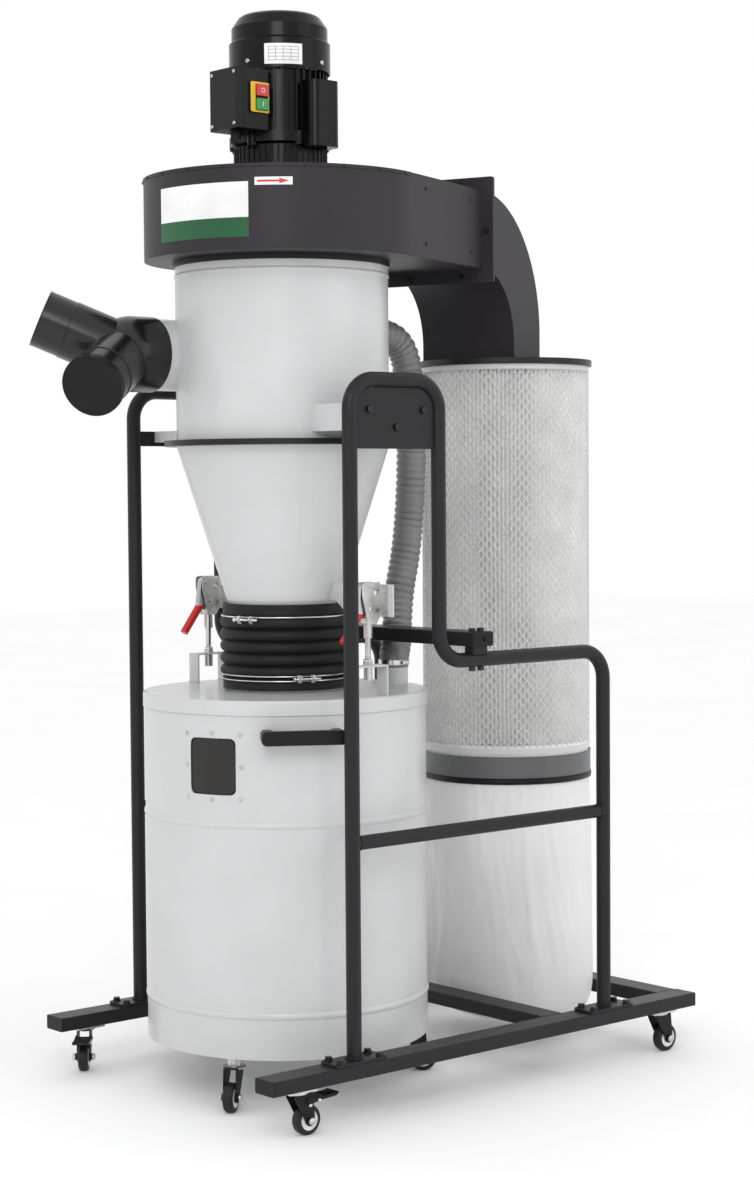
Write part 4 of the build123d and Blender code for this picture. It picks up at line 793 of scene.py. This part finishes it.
def housing_labels(materials):
    """A plain white and green maker's field with no mark on it, and a turning-direction arrow."""
    start, end, bottom, top, band_top = 73.5, 117.5, 1.4665, 1.557, 1.4985
    scroll_label("housing_label", start, end, bottom, top, materials["label"])
    scroll_label("housing_label_band", start, end, bottom, band_top, materials["label_green"], 0.0007)
    scroll_label("arrow_label", 56.5, 71.0, 1.5505, 1.5635, materials["label"])
    shape = Shape()
    lift = 0.0008
    middle = 1.557
    shaft = [scroll_point(70.0 - 8.5 * k / 8, middle, lift) for k in range(9)]
    rows = [[p + Vector((0, 0, -0.0016)), p + Vector((0, 0, 0.0016))] for p in shaft]
    shape.grid(rows, wrap_columns=False)
    tip = [
        scroll_point(61.5, middle - 0.0045, lift), scroll_point(61.5, middle + 0.0045, lift),
        scroll_point(57.6, middle, lift),
    ]
    shape.add(tip, [(0, 1, 2)])
    shape.object("turning_arrow", materials["label_red"])


def housing_details(materials):
    """The folded lip round the blower cover, its rivets and the screws by the outlet."""
    cover_z, rivet_z = 1.587, 1.5835
    lip = Shape()
    rows = []
    for k in range(45):
        degrees = -0.001 + 180.0 * k / 44
        base = scroll_point(min(degrees, 179.9), cover_z)
        out = (base - (CYCLONE + Vector((0, 0, cover_z)))).normalized()
        rows.append([
            base + out * dx + Vector((0, 0, dz))
            for dx, dz in ((-0.001, 0), (0.0012, 0), (0.0012, -0.006), (-0.001, -0.006))
        ])
    lip.grid(rows)
    lip.object("cover_lip", materials["housing"], angle=40)
    rivets = Shape()
    for degrees in range(4, 180, 16):
        seat = scroll_point(degrees, rivet_z, 0.0012)
        dome_screw(rivets, seat, (scroll_point(degrees, rivet_z, 0.01) - seat), 0.0024)
    for u, z in ((0.06, 1.47), (0.06, 1.565), (0.235, 1.47), (0.235, 1.565)):
        seat = CYCLONE + ALONG * u + NEARWARD * 0.255 + Vector((0, 0, z))
        dome_screw(rivets, seat, NEARWARD, 0.0036)
    rivets.object("cover_screws", materials["bolt"], angle=40)


def motor_details(materials):
    """Cowl screws, through-bolt lugs, the drive end bell's ribs and the rating plate."""
    bolts = Shape()
    for degrees in (193.5, 286.5, 13.5, 106.5):
        out = outward(degrees)
        dome_screw(bolts, around(CYCLONE, COWL_RADIUS + 0.0004, degrees, 1.785), out, 0.0042)
    bolts.object("cowl_screws", materials["steel"], angle=40)
    lugs = Shape()
    for degrees in (195, 255, 315, 15, 75, 135):
        seat = around(CYCLONE, 0.0800, degrees, 1.643)
        lugs.turned(
            [(0.0, -0.003), (0.0092, -0.002), (0.0098, 0.004), (0.0098, 0.0215), (0.0, 0.0215)],
            seat, UP, 24,
        )
        hex_head(lugs, seat - Vector((0, 0, 0.0015)), (0, 0, -1), 0.0055, 0.005)
    for k in range(44):
        foot = around(CYCLONE, 0.0802, 360 * k / 44, 1.592)
        lugs.tube([foot, foot + Vector((0, 0, 0.050))], 0.0021, 6)
    lugs.object("motor_lugs", materials["motor"], angle=40)
    plate = Shape()
    plate_radius, rule_radius = COWL_RADIUS + 0.0009, COWL_RADIUS + 0.0012
    rows = []
    for k in range(17):
        degrees = 214.5 + 43.0 * k / 16
        rows.append([around(CYCLONE, plate_radius, degrees, z) for z in (1.777, 1.812)])
    plate.grid(rows, wrap_columns=False)
    plate.object("rating_plate", materials["label"])
    rules = Shape()
    for z in (1.7830, 1.7890, 1.7950, 1.8010, 1.8060):
        rows = []
        for k in range(13):
            degrees = 219.0 + 34.0 * k / 12
            rows.append([around(CYCLONE, rule_radius, degrees, z + dz) for dz in (0.0, 0.0008)])
        rules.grid(rows, wrap_columns=False)
    for start in (219.0, 227.0, 235.5, 244.0, 252.5):
        rows = []
        for degrees in (start, start + 0.5):
            rows.append([around(CYCLONE, rule_radius, degrees, z) for z in (1.783, 1.8068)])
        rules.grid(rows, wrap_columns=False)
    rules.object("rating_plate_rules", materials["label_grey"])


def switch_details(materials):
    """Yellow plate round the two buttons, the raised marks on them, and the cover's screws and seam."""
    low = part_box("switch_box")[0]
    plate_z, stop_z, start_z = 1.71675, 1.7285, 1.705
    outer = Vector((CYCLONE.x - 0.093, low.y, plate_z))
    inner = Vector((CYCLONE.x - 0.089, low.y, plate_z))
    plate = Shape()
    plate.grid([
        rounded_ring(outer, 0.0392, 0.0512, 0.003, 0.0), rounded_ring(outer, 0.0392, 0.0512, 0.003, -0.0012),
        rounded_ring(inner, 0.0270, 0.0440, 0.001, -0.0012), rounded_ring(inner, 0.0270, 0.0440, 0.001, 0.0),
    ], wrap_rows=False)
    plate.object("button_plate", materials["yellow"], angle=40)
    face = low.y - 0.005
    for z, body in ((stop_z, "stop"), (start_z, "start")):
        marks = Shape()
        if body == "stop":
            marks.turned(
                [(0.0028, 0), (0.0040, 0), (0.0040, 0.0006), (0.0028, 0.0006)],
                (inner.x, face + 0.0001, z), (0, -1, 0), 24, closed=True,
            )
        else:
            marks.tube([Vector((inner.x, face, z - 0.0042)), Vector((inner.x, face, z + 0.0042))], 0.0007, 8)
        marks.object(body + "_mark", materials["label"], body=body)
    screws = Shape()
    for y in (-0.050, 0.012):
        for z in (1.671, 1.758):
            dome_screw(screws, Vector((low.x, y, z)), (-1, 0, 0), 0.0034)
    screws.object("switch_box_screws", materials["steel"], angle=40)
    seam = Shape()
    x = low.x + 0.012
    rows = []
    for dx in (0.0, 0.0016):
        rows.append([
            Vector((x + dx, -0.0594, 1.6630)), Vector((x + dx, -0.0594, 1.7664)),
            Vector((x + dx, 0.0214, 1.7664)), Vector((x + dx, 0.0214, 1.6630)),
        ])
    seam.grid(rows)
    seam.object("switch_box_seam", materials["satin_black"], smooth=False)


def rounded_ring(centre, width, height, radius, dy, steps=6):
    """Points round an upright rounded rectangle across Y, with a number of steps in each corner."""
    points = []
    for cx, cz, start in ((1, 1, 0), (-1, 1, 90), (-1, -1, 180), (1, -1, 270)):
        for k in range(steps + 1):
            angle = math.radians(start + 90 * k / steps)
            points.append(
                Vector((
                    centre.x + cx * (width / 2 - radius) + radius * math.cos(angle), centre.y + dy,
                    centre.z + cz * (height / 2 - radius) + radius * math.sin(angle),
                ))
            )
    return points


# ---- drum, lid and clamps
def drum_details(materials):
    """The window's gasket and screws, and the plugs over the handle's bolts."""
    azimuth, middle = 201.7, 0.585
    screws = Shape()
    gasket = Shape()
    for dx, dz in ((-52, 54), (0, 56), (52, 54), (-54, 0), (54, 0), (-52, -54), (0, -56), (52, -54)):
        degrees = azimuth + math.degrees(dx * MM / DRUM_RADIUS)
        dome_screw(screws, around(CYCLONE, DRUM_RADIUS, degrees, middle + dz * MM), outward(degrees), 0.0036)
    screws.object("window_screws", materials["steel"], angle=40)
    half_width, half_height = 0.044, 0.0475
    outer, inner = [], []
    for k in range(64):
        angle = TAU * k / 64
        c, s = math.cos(angle), math.sin(angle)
        power = (abs(c) ** 8 + abs(s) ** 8) ** (-1 / 8)
        for ring, grow, lift in ((outer, 0.0, 0.0004), (inner, -0.0025, -0.0030)):
            degrees = azimuth + math.degrees((half_width + grow) * c * power / DRUM_RADIUS)
            z = middle + (half_height + grow) * s * power
            ring.append(around(CYCLONE, DRUM_RADIUS + lift, degrees, z))
    gasket.grid([outer, inner])
    gasket.object("window_gasket", materials["rubber"])
    handle = Shape()
    out = outward(238)
    side = Vector((-out.y, out.x, 0))
    for offset in (-0.058, 0.058):
        seat = CYCLONE + out * (DRUM_RADIUS + 0.040) + side * offset + Vector((0, 0, 0.638))
        handle.turned([(0.0052, 0.0002), (0.0046, -0.0006), (0.0, -0.0006)], seat, out, 20)
    handle.object("handle_plugs", materials["satin_black"])


def lid_details(materials):
    """Rolled edges of the lid's skirt and neck, and the weld beads of its clamp brackets."""
    edge = Shape()
    edge.turned(
        [
            (0.2502 + 0.0013 * math.cos(TAU * k / 10), 0.6728 + 0.0013 * math.sin(TAU * k / 10))
            for k in range(10)
        ],
        CYCLONE, UP, 128, closed=True,
    )
    edge.turned(
        [(0.0985, 0.7335), (0.1005, 0.7335), (0.1010, 0.7345), (0.1005, 0.7358), (0.0985, 0.7358)],
        CYCLONE, UP, 96, closed=True,
    )
    edge.object("lid_edges", materials["grey"], body="lid")
    welds = Shape()
    for side in (-1, 1):
        for x in (-0.034, 0.034):
            rows = []
            for k in range(28):
                y = side * CLAMP_REACH - 0.0135 + 0.027 * k / 27
                rows.append(CYCLONE + Vector((x + math.copysign(0.0006, x), y, 0.6974)))
            radii = [0.0014 + 0.0005 * math.sin(k * 2.4) for k in range(28)]
            welds.tube(rows, 0.0, 8, radii)
    welds.object("bracket_welds", materials["grey"], body="lid")


def clamp_details(materials):
    """Pivot rivets, threaded rods and lock nuts of the toggle clamps."""
    fixed, moving = Shape(), Shape()
    for side in (-1, 1):
        y = side * CLAMP_REACH
        for x, z in ((-12, 881), (8, 872), (-4, 846)):
            for face in (-1, 1):
                fixed.turned(
                    [(0.0, 0.0020), (0.0022, 0.0018), (0.0040, 0.0008), (0.0042, 0.0)],
                    CYCLONE + Vector((x, 1000 * y + face * 11, z)) * MM, (0, face, 0), 16,
                )
        for k in range(4):
            moving.turned(
                [(0.0050, 0.0), (0.0054, 0.0005), (0.0050, 0.0010)],
                CYCLONE + Vector((0, y, 0.7605 + 0.0013 * k)), UP, 20,
            )
        moving.turned(
            [
                (0.0052, 0.7552), (0.0084, 0.7552), (0.0086, 0.7560), (0.0086, 0.7592), (0.0076, 0.7602),
                (0.0052, 0.7602),
            ],
            CYCLONE + Vector((0, y, 0)), UP, 6,
        )
    fixed.object("clamp_rivets", materials["wire"], angle=40)
    moving.object("clamp_threads", materials["wire"], body="lid", angle=40)


# ---- frame details
def frame_details(materials):
    """Weld beads at the uprights' feet and at the lower cross tubes, and the brace's end plugs."""
    tube_y, left_x, right_x, foot_z, grab_z = 0.308, -0.105, 0.487, 0.1095, 0.465
    beads = Shape()
    for side in (-1, 1):
        y = side * tube_y
        for x, inward in ((left_x, 0.0125), (right_x, -0.0125)):
            ring = [CYCLONE + Vector((x, y, foot_z)) + outward(9 * k) * 0.0134 for k in range(40)]
            beads.tube(ring, 0.0, 8, [0.0017 + 0.0005 * math.sin(k * 2.1) for k in range(40)], closed=True)
            grab = [
                CYCLONE + Vector((
                    x + inward, y + 0.0120 * math.cos(TAU * k / 32), grab_z + 0.0120 * math.sin(TAU * k / 32),
                ))
                for k in range(32)
            ]
            beads.tube(grab, 0.0, 8, [0.0016 + 0.0004 * math.sin(k * 2.3) for k in range(32)], closed=True)
    beads.object("frame_welds", materials["frame"])
    plugs = Shape()
    corner = 0.003
    for side in (-1, 1):
        centre = CYCLONE + Vector((0.175, side * 0.324, 0.7905))
        rows = []
        for inset, dy in ((0.0, 0.0), (0.001, 0.002), (0.006, 0.0025), (0.020, 0.0025)):
            width, height = 0.049 - 2 * inset, max(2 * corner + 0.001, 0.024 - inset)
            rows.append(rounded_ring(centre, width, height, corner, side * dy, 4))
        plugs.grid(rows)
    plugs.object("brace_plugs", materials["black"], angle=40)


# ---- casters
CASTERS = {
    "near_left": (-228, -308, 0),
    "far_left": (-228, 308, 230),
    "near_right": (629, -308, 0),
    "far_right": (629, 308, 200),
    "drum_near_left": (-200, -105, 215),
    "drum_near_right": (200, -105, 325),
    "drum_far": (0, 226, 60),
}
BRAKED = ("near_left", "far_left")
TRAIL, AXLE_Z = 0.020, 0.025


def caster_details(materials):
    """White rims and steel axle heads on each wheel, raceway rings, and the pedals' rivets and ribs."""
    for name, (x, y, azimuth) in CASTERS.items():
        pivot = CYCLONE + Vector((x, y, 0)) * MM
        trail = outward(azimuth)
        side = Vector((trail.y, -trail.x, 0))
        axle = pivot + trail * TRAIL + Vector((0, 0, AXLE_Z))
        rims, heads, races = Shape(), Shape(), Shape()
        for face in (-1, 1):
            rims.turned(
                [(0.0082, -0.0005), (0.0082, 0.0012), (0.0105, 0.0016), (0.0140, 0.0012), (0.0158, 0.0022),
                 (0.0166, 0.0030), (0.0170, 0.0024), (0.0166, -0.0002)],
                axle + side * (face * 0.0064), side * face, 40,
            )
            heads.turned(
                [(0.0068, 0.0), (0.0068, 0.0012), (0.0058, 0.0034), (0.0036, 0.0048), (0.0, 0.0052)],
                axle + side * (face * 0.0157), side * face, 20,
            )
        rims.object(name + "_rims", materials["rim"], body=name + "_roller", angle=40)
        heads.object(name + "_axle_heads", materials["steel"], body=name + "_swivel", angle=40)
        races.turned(
            [(0.0125, 0.0752), (0.0178, 0.0752), (0.0190, 0.0744), (0.0196, 0.0728), (0.0190, 0.0716)],
            pivot, UP, 40,
        )
        races.object(name + "_race", materials["steel"], body=name + "_swivel", angle=50)
        if name in BRAKED:
            rivets = Shape()
            for back, z, reach in ((TRAIL, 0.0505, 0.0122), (0.0375, 0.0560, 0.0147)):
                for face in (-1, 1):
                    rivets.turned(
                        [(0.0, 0.0020), (0.0020, 0.0018), (0.0036, 0.0006), (0.0038, 0.0)],
                        pivot + trail * back + Vector((0, 0, z)) + side * (face * reach), side * face, 16,
                    )
            rivets.object(name + "_rivets", materials["wire"], body=name + "_swivel", angle=40)
            ribs = Shape()
            for k in range(5):
                seat = pivot + trail * (0.050 + 0.0042 * k) + Vector((0, 0, 0.0622 + 0.0002 * k))
                ribs.tube([seat - side * 0.012, seat + side * 0.012], 0.0007, 8)
            ribs.object(name + "_pedal_ribs", materials["satin_black"], body=name + "_pedal")


# ---- stage
def add_stage():
    """A pale floor that runs into a bright surround, and soft lights from both sides."""
    shape = Shape()
    rows = []
    for i in range(9):
        rows.append([Vector((-14 + 3.5 * i, -14 + 3.5 * k, 0.0)) for k in range(9)])
    shape.grid(rows, wrap_columns=False)
    floor = shape.object("floor", studio_floor(), body=None, smooth=False)
    world = bpy.data.worlds.new("studio")
    world.use_nodes = True
    world.node_tree.nodes["Background"].inputs["Color"].default_value = (1.0, 1.0, 1.0, 1.0)
    world.node_tree.nodes["Background"].inputs["Strength"].default_value = 1.0
    bpy.context.scene.world = world
    bpy.context.scene.view_settings.view_transform = "Standard"
    soft_light("key", (-3.0, -3.0, 3.0), 1.8, 45)
    soft_light("fill", (1.8, -4.2, 2.4), 2.6, 16)


def studio_floor():
    """Plain matt, nearly white floor."""
    m = Nodes("studio_floor")
    pale = m.ramp(m.noise(1.5), (0.96, 0.96, 0.96, 1.0), (0.98, 0.98, 0.98, 1.0))
    m.link(pale, m.shader.inputs["Base Color"])
    m.shader.inputs["Roughness"].default_value = 0.75
    m.bump(m.noise(250.0, 2.0), 0.05, 0.0005)
    return m.material


def soft_light(name, place, size, power):
    """A square area light that faces the machine's middle."""
    data = bpy.data.lights.new(name, "AREA")
    data.size = size
    data.energy = power
    light = bpy.data.objects.new(name, data)
    light.location = place
    light.rotation_euler = (Vector((0, 0, 0.9)) - Vector(place)).to_track_quat("-Z", "Y").to_euler()
    bpy.context.collection.objects.link(light)


def main():
    """Camera, machine and stage."""
    add_camera()
    materials = make_materials()
    paint_nodes(materials)
    return_hose(materials)
    port_bands(materials)
    filter_media(materials)
    filter_mesh(materials)
    dust_bag(materials)
    bag_band_details(materials)
    sleeve(materials)
    wire_clamp("upper_wire_clamp", "upper_sleeve_clamp", 0.824, "frame", 196, materials["wire"])
    wire_clamp("lower_wire_clamp", "lower_sleeve_clamp", 0.722, "lid", 250, materials["wire"])
    wye_details(materials)
    cap_details(materials)
    housing_labels(materials)
    housing_details(materials)
    motor_details(materials)
    switch_details(materials)
    drum_details(materials)
    lid_details(materials)
    clamp_details(materials)
    frame_details(materials)
    caster_details(materials)
    add_stage()


main()
